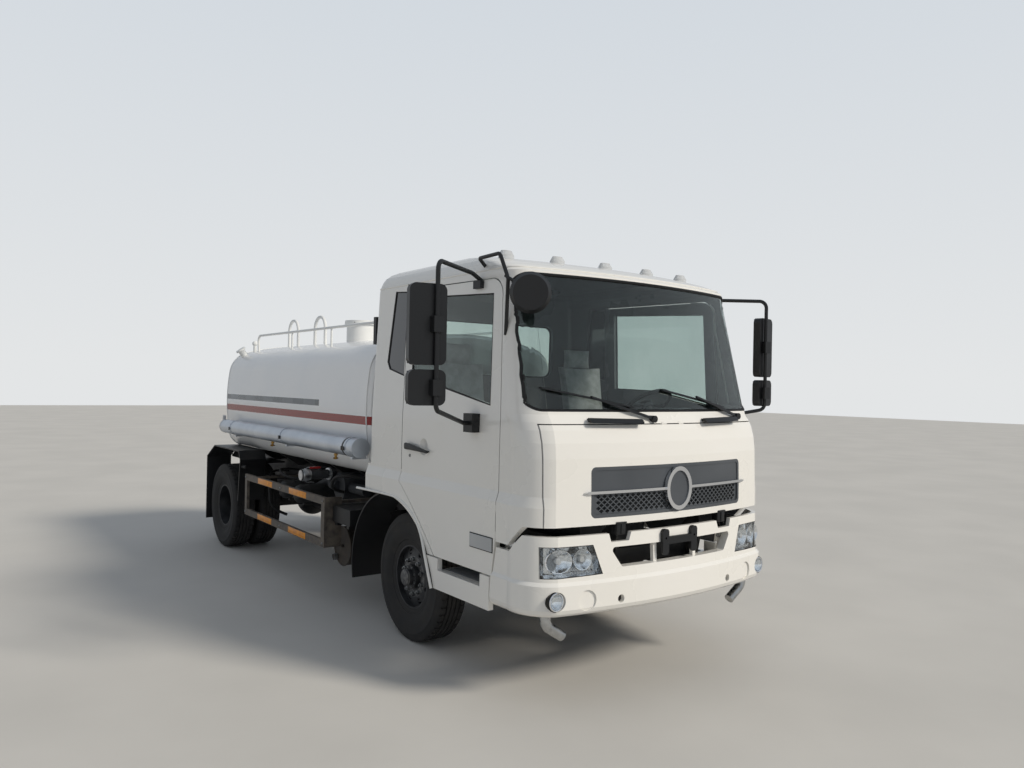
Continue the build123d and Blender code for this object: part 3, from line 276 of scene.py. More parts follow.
class Look(Enum):
    """The finishes on this truck."""

    # Baked enamel on pressed steel: white with a touch of cream, an even gloss with faint orange peel
    CAB_ENAMEL = LinedPaint("cream_white_cab_enamel", ("#EDEBE5", "#EFEDE8"), (0.27, 0.29), coat=0.7,
                            coat_rough=0.06, grain_mm=4)
    CAB_PAINT = Finish("cream_white_enamel", ("#EDEBE5", "#EFEDE8"), (0.27, 0.29), coat=0.7, coat_rough=0.06,
                       grain_mm=4)
    # Two-pack polyurethane on rolled steel: cooler white, high gloss, its fittings brushed and duller
    TANK_PAINT = StripedPaint("white_polyurethane_tank_paint", ("#EFF0F0", "#F3F3F2"), (0.20, 0.26), coat=0.35,
                              coat_rough=0.04, grain_mm=14, relief_mm=0.08)
    TANK_FITTING = Finish("white_brushed_on_paint", ("#E4E5E4", "#EEEFED"), (0.3, 0.45), grain_mm=5, relief_mm=0.08)
    CAP_PAINT = Finish("pale_grey_cap_paint", ("#C3C6C8", "#D2D4D5"), (0.35, 0.5), patch_mm=80, relief_mm=0.06)
    # Chassis lacquer, sand-cast iron and wheel paint: black to dark grey, half matt, greyed by dust
    CHASSIS = Finish("dusty_black_chassis_lacquer", ("#141517", "#2A2A2A"), (0.45, 0.7), patch_mm=180,
                     grain_mm=4, relief_mm=0.15)
    CAST_IRON = Finish("grey_black_cast_iron", ("#26282B", "#3D3F42"), (0.5, 0.7), patch_mm=90, grain_mm=2.5,
                       relief_mm=0.35)
    RIM_PAINT = Finish("dark_grey_wheel_paint", ("#232426", "#3A3B3D"), (0.4, 0.6), patch_mm=90, grain_mm=2.5,
                       relief_mm=0.12)
    WORN_RIM = Finish("rubbed_wheel_paint", ("#4C4D4F", "#7C7B79"), (0.4, 0.6), metallic=0.4, patch_mm=28,
                      grain_mm=2, relief_mm=0.12)
    # Moulded plastics: a fine even grain that spreads the highlights
    BLACK_PLASTIC = Finish("grained_black_polypropylene", ("#101113", "#191A1C"), (0.38, 0.52), grain_mm=1.6,
                           relief_mm=0.08)
    GRILLE_PLASTIC = Finish("slate_grey_moulded_abs", ("#474B50", "#53575C"), (0.36, 0.46), grain_mm=1.6,
                            relief_mm=0.05)
    TRIM = Finish("grey_grained_cab_trim", ("#4E5155", "#5C5F63"), (0.55, 0.7), grain_mm=1.8, relief_mm=0.15)
    TREAD = Finish("grey_moulded_tread", ("#55585A", "#6E706F"), (0.55, 0.75), patch_mm=70, grain_mm=2,
                   relief_mm=0.2)
    RED_GRIP = Finish("red_vinyl_dip", ("#A11A1C", "#BE2C28"), (0.35, 0.45), grain_mm=2, relief_mm=0.05)
    # Rubbers: matt and nearly black, the tyres browned by road dust
    SEAL_RUBBER = Finish("matt_seal_rubber", ("#0B0B0C", "#141415"), (0.55, 0.7), grain_mm=2, relief_mm=0.05)
    HOSE_RUBBER = Finish("ribbed_hose_rubber", ("#121213", "#1E1E1F"), (0.5, 0.65), grain_mm=6, relief_mm=0.3)
    TYRE = Finish("dusty_tyre_rubber", ("#1C1C1D", "#353331"), (0.75, 0.95), patch_mm=120, grain_mm=2.5,
                  relief_mm=0.25)
    # Bare and plated metals: bright where plated or polished, dull and stained where weather or heat got at them
    NUT_STEEL = Finish("zinc_plated_steel", ("#77797B", "#A3A5A6"), (0.3, 0.5), metallic=1.0, patch_mm=25,
                       grain_mm=1, relief_mm=0.03)
    CHROME = Finish("bright_chrome_on_abs", ("#DDDFE2", "#F0F1F3"), (0.05, 0.09), metallic=1.0, grain_mm=20)
    ALUMINIUM = Finish("drawn_aluminium_tube", ("#B9C0C9", "#D3D8DE"), (0.32, 0.45), metallic=0.85, patch_mm=350,
                       grain_mm=6, relief_mm=0.03, draw=(1.0, 0.04, 1.0))
    COUPLING = Finish("bright_cast_aluminium", ("#A8ABAE", "#CBCDCF"), (0.28, 0.42), metallic=1.0, patch_mm=30,
                      grain_mm=1.6, relief_mm=0.12)
    SPRAY_STEEL = Finish("scuffed_stainless_pipe", ("#A9ABAC", "#C4C5C5"), (0.25, 0.42), metallic=1.0, patch_mm=60,
                         relief_mm=0.08)
    BRASS = Finish("cast_brass", ("#8A6B3A", "#B08D52"), (0.3, 0.45), metallic=1.0, patch_mm=30, grain_mm=2,
                   relief_mm=0.1)
    GALVANISED = Finish("dull_galvanised_steel", ("#6E7073", "#8C8E90"), (0.45, 0.6), metallic=0.7, patch_mm=45,
                        grain_mm=4, relief_mm=0.1)
    GUARD_STEEL = Finish("weathered_brown_steel", ("#4F4A45", "#756C62"), (0.45, 0.65), metallic=0.3, patch_mm=70,
                         relief_mm=0.1)
    HEAT_STEEL = Finish("heat_dulled_exhaust_steel", ("#3A3632", "#5B534B"), (0.5, 0.7), metallic=0.6, patch_mm=80,
                        relief_mm=0.15)
    # Glass: smooth, the float glass faintly green, the quarter panes black
    GLASS = Finish("green_tinted_float_glass", ("#C9D6D2", "#D3DEDA"), (0.0, 0.01), ior=1.45, clear=1.0,
                   relief_mm=0.0)
    DARK_GLASS = Finish("privacy_black_glass", ("#0A0B0D", "#101114"), (0.03, 0.06), coat=1.0, coat_rough=0.02,
                        relief_mm=0.0)
    MIRROR = Finish("silvered_mirror_glass", ("#E9ECEE", "#F1F3F4"), (0.01, 0.02), metallic=1.0, relief_mm=0.0)
    # Lamps and reflecting sheet: clear, milky, red and amber plastics over aluminised bowls
    LENS = Finish("clear_polycarbonate", ("#F1F4F6", "#F8FAFB"), (0.01, 0.03), clear=1.0, relief_mm=0.0)
    PALE_LENS = Finish("milky_lamp_lens", ("#D5D8DA", "#E6E8E9"), (0.1, 0.2), clear=0.35, relief_mm=0.15)
    RED_LENS = Finish("red_acrylic_lens", ("#7D0F12", "#9A1719"), (0.08, 0.16), coat=0.8, relief_mm=0.2)
    AMBER_SHEET = Finish("amber_prismatic_sheet", ("#D98200", "#F59F08"), (0.30, 0.40), coat=0.1, patch_mm=60,
                         relief_mm=0.25)
    REFLECTOR = Finish("aluminised_reflector", ("#C9CDD1", "#F2F4F6"), (0.06, 0.14), metallic=1.0, patch_mm=40,
                       grain_mm=22, relief_mm=2.2, draw=(1.0, 1.0, 0.35))
    BOWL = Finish("polished_lamp_bowl", ("#D9DCDF", "#F5F6F7"), (0.04, 0.10), metallic=1.0, patch_mm=30,
                  grain_mm=12, relief_mm=0.6)
    # Seat cloth in its wrapping: grey with a soft crumpled sheen
    SEAT_CLOTH = Finish("wrapped_grey_seat_cloth", ("#8E9092", "#B4B6B8"), (0.35, 0.6), coat=0.5, patch_mm=90,
                        grain_mm=25, relief_mm=1.6)
    # Studio floor: pale and matt
    FLOOR = Finish("pale_studio_floor", ("#CBC8C2", "#D2CFC9"), (0.75, 0.85), patch_mm=1500, grain_mm=6,
                   relief_mm=0.05)


NODE_LOOKS: dict[Look, str] = {
    Look.CAB_ENAMEL: "cab_shell door_left door_right",
    Look.CAB_PAINT: "cab_fenders front_flap front_bumper step_panels",
    Look.GLASS: "cab_glass door_glass_left door_glass_right",
    Look.GRILLE_PLASTIC: "grille",
    Look.CHROME: "grille_bar",
    Look.DARK_GLASS: "quarter_glass",
    Look.SPRAY_STEEL: "spray_nozzles",
    Look.LENS: "front_lamps",
    Look.PALE_LENS: "marker_lamps",
    Look.BLACK_PLASTIC: "plate_bracket cab_fittings mirror_left mirror_right battery_box air_intake mudguards",
    Look.TRIM: "cab_floor dashboard",
    Look.SEAT_CLOTH: "seats",
    Look.CHASSIS: "frame_rails leaf_springs front_axle rear_axle tank_mounts rear_underrun fuel_tank tie_rod",
    Look.CAST_IRON: "engine_and_shaft knuckle_left knuckle_right water_pump",
    Look.TYRE: "front_tyre_left front_tyre_right rear_tyres_left rear_tyres_right",
    Look.RIM_PAINT: "front_rim_left front_rim_right rear_rims_left rear_rims_right",
    Look.TANK_PAINT: "tank_shell",
    Look.TANK_FITTING: "tank_fittings tank_lid",
    Look.ALUMINIUM: "hose_tubes",
    Look.GUARD_STEEL: "side_guards",
    Look.HEAT_STEEL: "muffler",
    Look.RED_LENS: "tail_lamps",
}


# Modelling
def rest() -> None:
    """Go back to object mode with nothing selected."""
    if bpy.context.mode != "OBJECT":
        bpy.ops.object.mode_set(mode="OBJECT")
    bpy.ops.object.select_all(action="DESELECT")


def take(piece: Piece) -> None:
    """Select one piece alone and make it the active one.

    Args:
        piece: the piece.
    """
    rest()
    piece.select_set(True)
    bpy.context.view_layer.objects.active = piece


def settled(name: str) -> Piece:
    """Name the active piece and put its place, turn and size into its mesh.

    Args:
        name: the piece's name.

    Returns:
        The piece, its object at the origin.
    """
    piece = bpy.context.object
    take(piece)
    bpy.ops.object.transform_apply(location=True, rotation=True, scale=True)
    piece.name = piece.data.name = name
    return piece


@contextmanager
def editing(piece: Piece) -> Iterator[bmesh.types.BMesh]:
    """Open a piece in edit mode with all of it selected.

    Args:
        piece: the piece.

    Yields:
        Its mesh in edit mode.
    """
    take(piece)
    bpy.ops.object.mode_set(mode="EDIT")
    bpy.ops.mesh.select_mode(type="VERT")
    bpy.ops.mesh.select_all(action="SELECT")
    yield bmesh.from_edit_mesh(piece.data)
    bpy.ops.object.mode_set(mode="OBJECT")


def pick_faces(piece: Piece, test: Callable[[Face], bool]) -> None:
    """Select in edit mode only the faces that pass a test.

    Args:
        piece: the piece, open in edit mode.
        test: says whether a face is wanted.
    """
    bpy.ops.mesh.select_all(action="DESELECT")
    bpy.ops.mesh.select_mode(type="FACE")
    mesh = bmesh.from_edit_mesh(piece.data)
    mesh.normal_update()
    for face in [face for face in mesh.faces if test(face)]:
        face.select_set(True)
    bmesh.update_edit_mesh(piece.data)


def finished(piece: Piece, kind: str, **settings: object) -> Piece:
    """Add one modifier and apply it.

    Args:
        piece: the piece.
        kind: the modifier's type.
        settings: the modifier's settings.

    Returns:
        The piece.
    """
    take(piece)
    modifier = piece.modifiers.new(kind.lower(), kind)
    for key, value in settings.items():
        setattr(modifier, key, value)
    bpy.ops.object.modifier_apply(modifier=modifier.name)
    return piece


def rounded(piece: Piece, width: float, segments: int = 2) -> Piece:
    """Round a piece's sharp edges by a width, if it isn't 0."""
    bevel = {"width": width, "segments": segments, "limit_method": "ANGLE", "angle_limit": SMOOTH_ANGLE}
    return finished(piece, "BEVEL", **bevel) if width else piece


def block(name: str, low: Place, high: Place, round_by: float = 0.0, segments: int = 2) -> Piece:
    """Model a box with rounded edges.

    Args:
        name: the piece's name.
        low: its lowest corner.
        high: its highest corner.
        round_by: radius of its edges.
        segments: segments of the rounding.

    Returns:
        The piece.
    """
    rest()
    a, b = Vector(low), Vector(high)
    bpy.ops.mesh.primitive_cube_add(size=1, location=(a + b) / 2, scale=b - a)
    return rounded(settled(name), round_by, segments)


def bar(name: str, start: Place, end: Place, radius: float, sides: int = 24, round_by: float = 0.0) -> Piece:
    """Model a round bar between two points.

    Args:
        name: the piece's name.
        start: the middle of one end.
        end: the middle of the other.
        radius: its radius.
        sides: how many sides it has.
        round_by: radius of its end edges.

    Returns:
        The piece.
    """
    rest()
    a, b = Vector(start), Vector(end)
    turn = (b - a).to_track_quat("Z", "Y").to_euler()
    bpy.ops.mesh.primitive_cylinder_add(
        vertices=sides, radius=radius, depth=(b - a).length, location=(a + b) / 2, rotation=turn
    )
    return rounded(settled(name), round_by)


def drawn(name: str, points: Sequence[Place], closed: bool = False) -> Piece:
    """Draw edges from point to point by extruding a vertex.

    Args:
        name: the piece's name.
        points: the points in order.
        closed: whether the line is closed and filled.

    Returns:
        The piece.
    """
    rest()
    bpy.ops.mesh.primitive_plane_add(size=MM)
    piece = settled(name)
    with editing(piece):
        bpy.ops.mesh.merge(type="CENTER")
        bpy.ops.transform.translate(value=points[0])
        for start, end in zip(points, points[1:]):
            bpy.ops.mesh.extrude_region_move(TRANSFORM_OT_translate={"value": Vector(end) - Vector(start)})
        if closed:
            bpy.ops.mesh.select_all(action="SELECT")
            bpy.ops.mesh.edge_face_add()
    return piece


def plate(name: str, points: Sequence[Place], push: Place, round_by: float) -> Piece:
    """Model a plate: a closed outline filled and pushed by its thickness.

    Args:
        name: the piece's name.
        points: the outline in order.
        push: the way and distance of its thickness.
        round_by: radius of its edges.

    Returns:
        The piece.
    """
    piece = drawn(name, points, closed=True)
    with editing(piece):
        bpy.ops.mesh.extrude_region_move(TRANSFORM_OT_translate={"value": push})
        bpy.ops.mesh.select_all(action="SELECT")
        bpy.ops.mesh.normals_make_consistent(inside=False)
    return rounded(piece, round_by)


def spun(name: str, profile: Sequence[Pair], centre: Place, axis: Place = LEFT, steps: int = 48) -> Piece:
    """Model a solid of revolution.

    Args:
        name: the piece's name.
        profile: points as radius and distance along the axis.
        centre: the point that the distances start from.
        axis: the axis's direction.
        steps: how many steps the turn takes.

    Returns:
        The piece.
    """
    along, middle = Vector(axis).normalized(), Vector(centre)
    across = along.orthogonal().normalized()
    piece = drawn(name, [tuple(middle + along * w + across * r) for r, w in profile])
    with editing(piece):
        bpy.ops.mesh.spin(steps=steps, angle=math.tau, center=centre, axis=along)
        bpy.ops.mesh.select_all(action="SELECT")
        bpy.ops.mesh.remove_doubles(threshold=0.01 * MM)
        bpy.ops.mesh.normals_make_consistent(inside=False)
    return piece


def tube(name: str, points: Sequence[Place], radius: float) -> Piece:
    """Model a bent round bar along a smooth line.

    Args:
        name: the piece's name.
        points: control points of the line.
        radius: the bar's radius.

    Returns:
        The piece, as a mesh.
    """
    rest()
    bpy.ops.curve.primitive_nurbs_path_add()
    path = bpy.context.object
    path.data.splines.clear()
    line = path.data.splines.new("NURBS")
    line.points.add(len(points) - 1)
    for point, place in zip(line.points, points):
        point.co = (*place, 1.0)
    line.order_u = 3
    line.use_endpoint_u = True
    path.data.bevel_depth, path.data.bevel_resolution, path.data.use_fill_caps = radius, 4, True
    take(path)
    bpy.ops.object.convert(target="MESH")
    return settled(name)


def wired(name: str, edges: Piece, radius: float, rings: int) -> Piece:
    """Turn bare edges into a round bar along them.

    Args:
        name: the bar's name.
        edges: the piece with the edges, which is used up.
        radius: the bar's radius.
        rings: resolution of its section.

    Returns:
        The bar.
    """
    take(edges)
    bpy.ops.object.convert(target="CURVE")
    edges.data.bevel_depth, edges.data.bevel_resolution = radius, rings
    bpy.ops.object.convert(target="MESH")
    return settled(name)


def joined(name: str, pieces: Sequence[Piece]) -> Piece:
    """Join pieces into one.

    Args:
        name: the name of the whole.
        pieces: what it is made of.

    Returns:
        The joined piece.
    """
    take(pieces[0])
    for piece in pieces[1:]:
        piece.select_set(True)
    bpy.ops.object.join()
    return settled(name)


def copied(piece: Piece, name: str, move: Matrix) -> Piece:
    """Copy a piece to another place, with a mesh of its own.

    Args:
        piece: what is copied.
        name: the copy's name.
        move: how its points move; a mirror image has its faces turned round.

    Returns:
        The copy.
    """
    twin = bpy.data.objects.new(name, piece.data.copy())
    bpy.context.scene.collection.objects.link(twin)
    twin.data.name = name
    twin.data.transform(move)
    if move.determinant() < 0:
        twin.data.flip_normals()
    return twin


def turned(piece: Piece, move: Matrix) -> Piece:
    """Move or turn a piece's mesh, its object staying at the origin."""
    piece.data.transform(move)
    return piece


def body_of(node: str) -> str:
    """Give the body that a CAD node belongs to."""
    return frame["nodes"][node]["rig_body"]


def dress(piece: Piece, look: Look, body: str, *stands_for: str) -> None:
    """Give a piece its finish and the body it moves with.

    Args:
        piece: the piece.
        look: its finish.
        body: the CAD body it rides on.
        stands_for: CAD nodes that it replaces.
    """
    piece.data.materials.clear()
    piece.data.materials.append(look.value.material())
    take(piece)
    bpy.ops.object.shade_smooth_by_angle(angle=SMOOTH_ANGLE)
    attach(piece, body)
    if stands_for:
        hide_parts(*stands_for)
    LOG.info("%s: %d faces, %s, on %s", piece.name, len(piece.data.polygons), look.name.lower(), body)


def dress_pair(left: Piece, look: Look, body: str = "chassis", *stands_for: str) -> None:
    """Dress a left piece and its mirror image on the right.

    Args:
        left: the left piece.
        look: the finish of both.
        body: the left piece's body; the right one rides on the body of the right, if there are two.
        stands_for: CAD nodes that they replace.
    """
    right = copied(left, left.name.replace("left", "right"), MIRRORED)
    dress(left, look, body, *stands_for)
    dress(right, look, body.replace("left", "right"), *stands_for)


def dress_right(left: Piece, look: Look) -> None:
    """Dress a piece of the chassis that is modelled on the left and stands on the right alone.

    Args:
        left: the left piece, which is used up.
        look: its finish.
    """
    right = copied(left, left.name.replace("left", "right"), MIRRORED)
    bpy.data.objects.remove(left)
    dress(right, look, "chassis")


def skin_copy(node: str, name: str, test: Callable[[Face], bool]) -> Piece:
    """Copy those faces of a CAD node that pass a test, merged into one sheet.

    Args:
        node: the CAD node.
        name: the copy's name.
        test: says whether a face is wanted.

    Returns:
        The sheet.
    """
    sheet = copied(frame["nodes"][node], name, Matrix.Identity(4))
    with editing(sheet):
        bpy.ops.mesh.remove_doubles(threshold=0.05 * MM)
        pick_faces(sheet, lambda face: not test(face))
        bpy.ops.mesh.delete(type="FACE")
    return sheet


def rim_bead(sheet: Piece, radius: float) -> Piece:
    """Turn a sheet into a round bead along its rim.

    Args:
        sheet: the sheet, which is used up.
        radius: the bead's radius.

    Returns:
        The bead.
    """
    with editing(sheet) as mesh:
        bpy.ops.mesh.select_all(action="DESELECT")
        bpy.ops.mesh.select_mode(type="EDGE")
        for edge in mesh.edges:
            edge.select_set(not edge.is_boundary)
        bmesh.update_edit_mesh(sheet.data)
        bpy.ops.mesh.delete(type="EDGE_FACE")
        bpy.ops.mesh.select_all(action="SELECT")
        bpy.ops.mesh.delete(type="ONLY_FACE")
    return wired(sheet.name, sheet, radius, 3)


def met(node: str, start: Place, way: Place) -> tuple[Vector, Vector]:
    """Find where a straight line first meets a CAD node.

    Args:
        node: the CAD node.
        start: where the line starts.
        way: its direction.

    Returns:
        The place and the surface's normal there, or the start and the way back to it where nothing is met.
    """
    hit, place, normal, _ = frame["nodes"][node].ray_cast(Vector(start), Vector(way).normalized())
    return (place, normal) if hit else (Vector(start), -Vector(way).normalized())


def laid(name: str, node: str, low: Pair, high: Pair, thick: float, cuts: int = 12) -> Piece:
    """Lay a thin sheet on the left flank of a CAD node, pressed onto its surface.

    Args:
        name: the sheet's name.
        node: the CAD node under it.
        low: lowest corner, as y and z.
        high: highest corner, the same way.
        thick: the sheet's thickness.
        cuts: how finely it follows the surface.

    Returns:
        The sheet.
    """
    rest()
    place = (BESIDE, (low[0] + high[0]) / 2, (low[1] + high[1]) / 2)
    bpy.ops.mesh.primitive_grid_add(
        x_subdivisions=cuts, y_subdivisions=cuts, size=1, location=place, rotation=(0, math.pi / 2, 0)
    )
    bpy.context.object.scale = (high[1] - low[1], high[0] - low[0], 1)
    sheet = settled(name)
    finished(sheet, "SHRINKWRAP", target=frame["nodes"][node], wrap_method="PROJECT", use_project_x=True,
             use_positive_direction=False, use_negative_direction=True)
    return finished(sheet, "SOLIDIFY", thickness=thick, offset=1.0)


def hex_bolt(across: float, high: float, stud: float, at: Place = ORIGIN) -> Piece:
    """Model a nut with a chamfered top on a washer and its stud, standing out along X.

    Args:
        across: radius over the corners.
        high: the nut's height.
        stud: how far the stud stands out of it.
        at: the middle of its foot.

    Returns:
        The nut.
    """
    nut = bar("nut", ORIGIN, (high, 0, 0), across, sides=6, round_by=0.12 * across)
    washer = bar("washer", ORIGIN, (0.15 * high, 0, 0), 1.15 * across, sides=20)
    shank = bar("shank", (high / 2, 0, 0), (high + stud, 0, 0), 0.5 * across, sides=12, round_by=0.1 * across)
    return turned(joined("bolt", [nut, washer, shank]), Matrix.Translation(at))


def ringed(name: str, bolt: Piece, centre: Place, radius: float, count: int) -> Piece:
    """Set copies of a bolt in a ring about the X axis and use it up.

    Args:
        name: the ring's name.
        bolt: one bolt, standing on the origin along X.
        centre: the ring's centre.
        radius: the bolt circle's radius.
        count: how many bolts.

    Returns:
        The ring of bolts.
    """
    copies = []
    for i in range(count):
        angle = math.tau * (i + 0.5) / count
        place = Vector(centre) + Vector((0, radius * math.cos(angle), radius * math.sin(angle)))
        copies.append(copied(bolt, "bolt", Matrix.Translation(place) @ Matrix.Rotation(0.4 * i, 4, "X")))
    bpy.data.objects.remove(bolt)
    return joined(name, copies)


# Wheels
@dataclass
class Tyres:
    """Six tyres with a ribbed tread, cut across at the shoulders."""

    radius: float = AXLE_Z
    half_width: float = 0.1295
    bead: float = 0.252
    front_x: float = 0.930
    rear_x: Pair = (0.7465, 1.0565)
    groove: float = 0.009
    groove_depth: float = 0.011
    groove_places: tuple[float, ...] = (-0.058, -0.020, 0.020, 0.058)
    tread_depth: float = 0.012
    steps: int = 192
    lug_steps: int = 4

    def profile(self) -> list[Pair]:
        """Give the section from bead to bead, as radius and distance from the middle plane."""
        r, w = self.radius, self.half_width
        wall = [
            (self.bead, 0.095), (self.bead + 0.018, 0.101), (self.bead + 0.040, 0.103), (self.bead + 0.046, 0.109),
            (self.bead + 0.058, 0.110), (0.335, 0.1235), (0.372, 0.1285), (0.395, w), (0.430, w - 0.001),
            (0.436, w + 0.001), (0.446, w + 0.001), (0.450, w - 0.002), (0.470, w - 0.006), (0.490, w - 0.0125),
            (0.502, w - 0.0215), (r, w - 0.032),
        ]
        tread = []
        for place in self.groove_places:
            low, high = place - self.groove / 2, place + self.groove / 2
            tread += [(r, low), (r - self.groove_depth, low + MM), (r - self.groove_depth, high - MM), (r, high)]
        return [(q, -v) for q, v in wall] + tread + [(q, v) for q, v in reversed(wall)]

    def build(self) -> Piece:
        """Model one tyre about the X axis at the origin.

        Returns:
            The tyre.
        """
        tyre = spun("tyre", self.profile(), ORIGIN, steps=self.steps)
        shoulder = self.groove_places[-1] + self.groove / 2

        def is_cut(face: Face) -> bool:
            """Say whether a face is the floor of a cut across the shoulder."""
            centre = face.calc_center_median()
            turn = math.atan2(centre.z, centre.y) % math.tau
            far_out = math.hypot(centre.y, centre.z) > self.radius - self.tread_depth
            return far_out and abs(centre.x) > shoulder and int(turn / (math.tau / self.steps)) % self.lug_steps == 0

        with editing(tyre):
            pick_faces(tyre, is_cut)
            bpy.ops.mesh.extrude_region_shrink_fatten(TRANSFORM_OT_shrink_fatten={"value": -0.8 * self.groove_depth})
        return tyre

    def dress(self) -> None:
        """Set a copy of the tyre on each rim."""
        tyre = self.build()
        for side, sign in SIDES.items():
            front = Matrix.Translation((sign * self.front_x, AXLE_Y["front"], self.radius))
            single = copied(tyre, f"treaded_front_tyre_{side}", front)
            dress(single, Look.TYRE, f"wheel_front_{side}", f"front_tyre_{side}")
            rear = [Matrix.Translation((sign * x, AXLE_Y["rear"], self.radius)) for x in self.rear_x]
            twins = joined(f"treaded_rear_tyres_{side}", [copied(tyre, "twin", move) for move in rear])
            dress(twins, Look.TYRE, f"wheel_rear_{side}", f"rear_tyres_{side}")
        bpy.data.objects.remove(tyre)


@dataclass
class WheelFittings:
    """Worn nuts, rubbed ring, grease cap and hub bolts on the two wheels of one axle.

    The wheel disc, the hub's face and its cap are given by their distance from the middle of the truck.
    """

    axle: str
    disc: float
    hub: float
    cap: float
    cap_radius: float
    bolt_circle: float
    bolts: int
    nuts: int = 10
    nut_circle: float = 0.140
    worn: Section = ((0.112, 0.0), (0.114, 0.0018), (0.160, 0.0018), (0.163, 0.0))

    def dress(self) -> None:
        """Dress the axle's left wheel and its fellow."""
        y, r = AXLE_Y[self.axle], self.cap_radius
        rim = [
            (r + 0.001, -0.016), (r + 0.005, -0.016), (r + 0.005, -0.012), (r + 0.001, -0.010), (r + 0.001, 0.000),
            (r - 0.006, 0.0045), (0.4 * r, 0.007), (0.36 * r, 0.0095), (0.0, 0.010),
        ]
        disc, hub, cap = ((x, y, AXLE_Z) for x in (self.disc, self.hub, self.cap))
        nut, bolt = hex_bolt(0.0185, 0.024, 0.012), hex_bolt(0.0095, 0.008, 0.0)
        for left, look in (
            (ringed(f"{self.axle}_wheel_nuts_left", nut, disc, self.nut_circle, self.nuts), Look.NUT_STEEL),
            (spun(f"{self.axle}_worn_ring_left", self.worn, disc), Look.WORN_RIM),
            (spun(f"{self.axle}_hub_cap_left", rim, cap), Look.WORN_RIM),
            (ringed(f"{self.axle}_hub_bolts_left", bolt, hub, self.bolt_circle, self.bolts), Look.NUT_STEEL),
        ):
            dress_pair(left, look, f"wheel_{self.axle}_left")


# Glazing
@dataclass
class Seals:
    """Rubber seals in the corner between each pane and the panel round it."""

    screen_bead: float = 0.012
    side_bead: float = 0.009
    screen_y: float = -2.6
    rear_y: float = -1.6
    anywhere: float = -9.0

    def bead(self, node: str, name: str, radius: float, way: Place, past: float) -> None:
        """Lay a round bead along the rim of a pane's outer face.

        Args:
            node: the pane's CAD node.
            name: the seal's name.
            radius: the bead's radius.
            way: the way that the outer face looks.
            past: how far that way it lies at least.
        """
        out = Vector(way)
        face = skin_copy(node, name, lambda f: f.normal.dot(out) > 0.5 and f.calc_center_median().dot(out) > past)
        dress(rim_bead(face, radius), Look.SEAL_RUBBER, body_of(node))

    def dress(self) -> None:
        """Seal the windscreen, the rear pane, the quarter panes and the door panes."""
        self.bead("cab_glass", "windscreen_seal", self.screen_bead, (0, -1, 0), -self.screen_y)
        self.bead("cab_glass", "rear_pane_seal", self.screen_bead, AFT, self.rear_y)
        for side, sign in SIDES.items():
            for node, pane in (("quarter_glass", "quarter"), (f"door_glass_{side}", "door")):
                self.bead(node, f"{pane}_pane_seal_{side}", self.side_bead, (sign, 0, 0), self.anywhere)


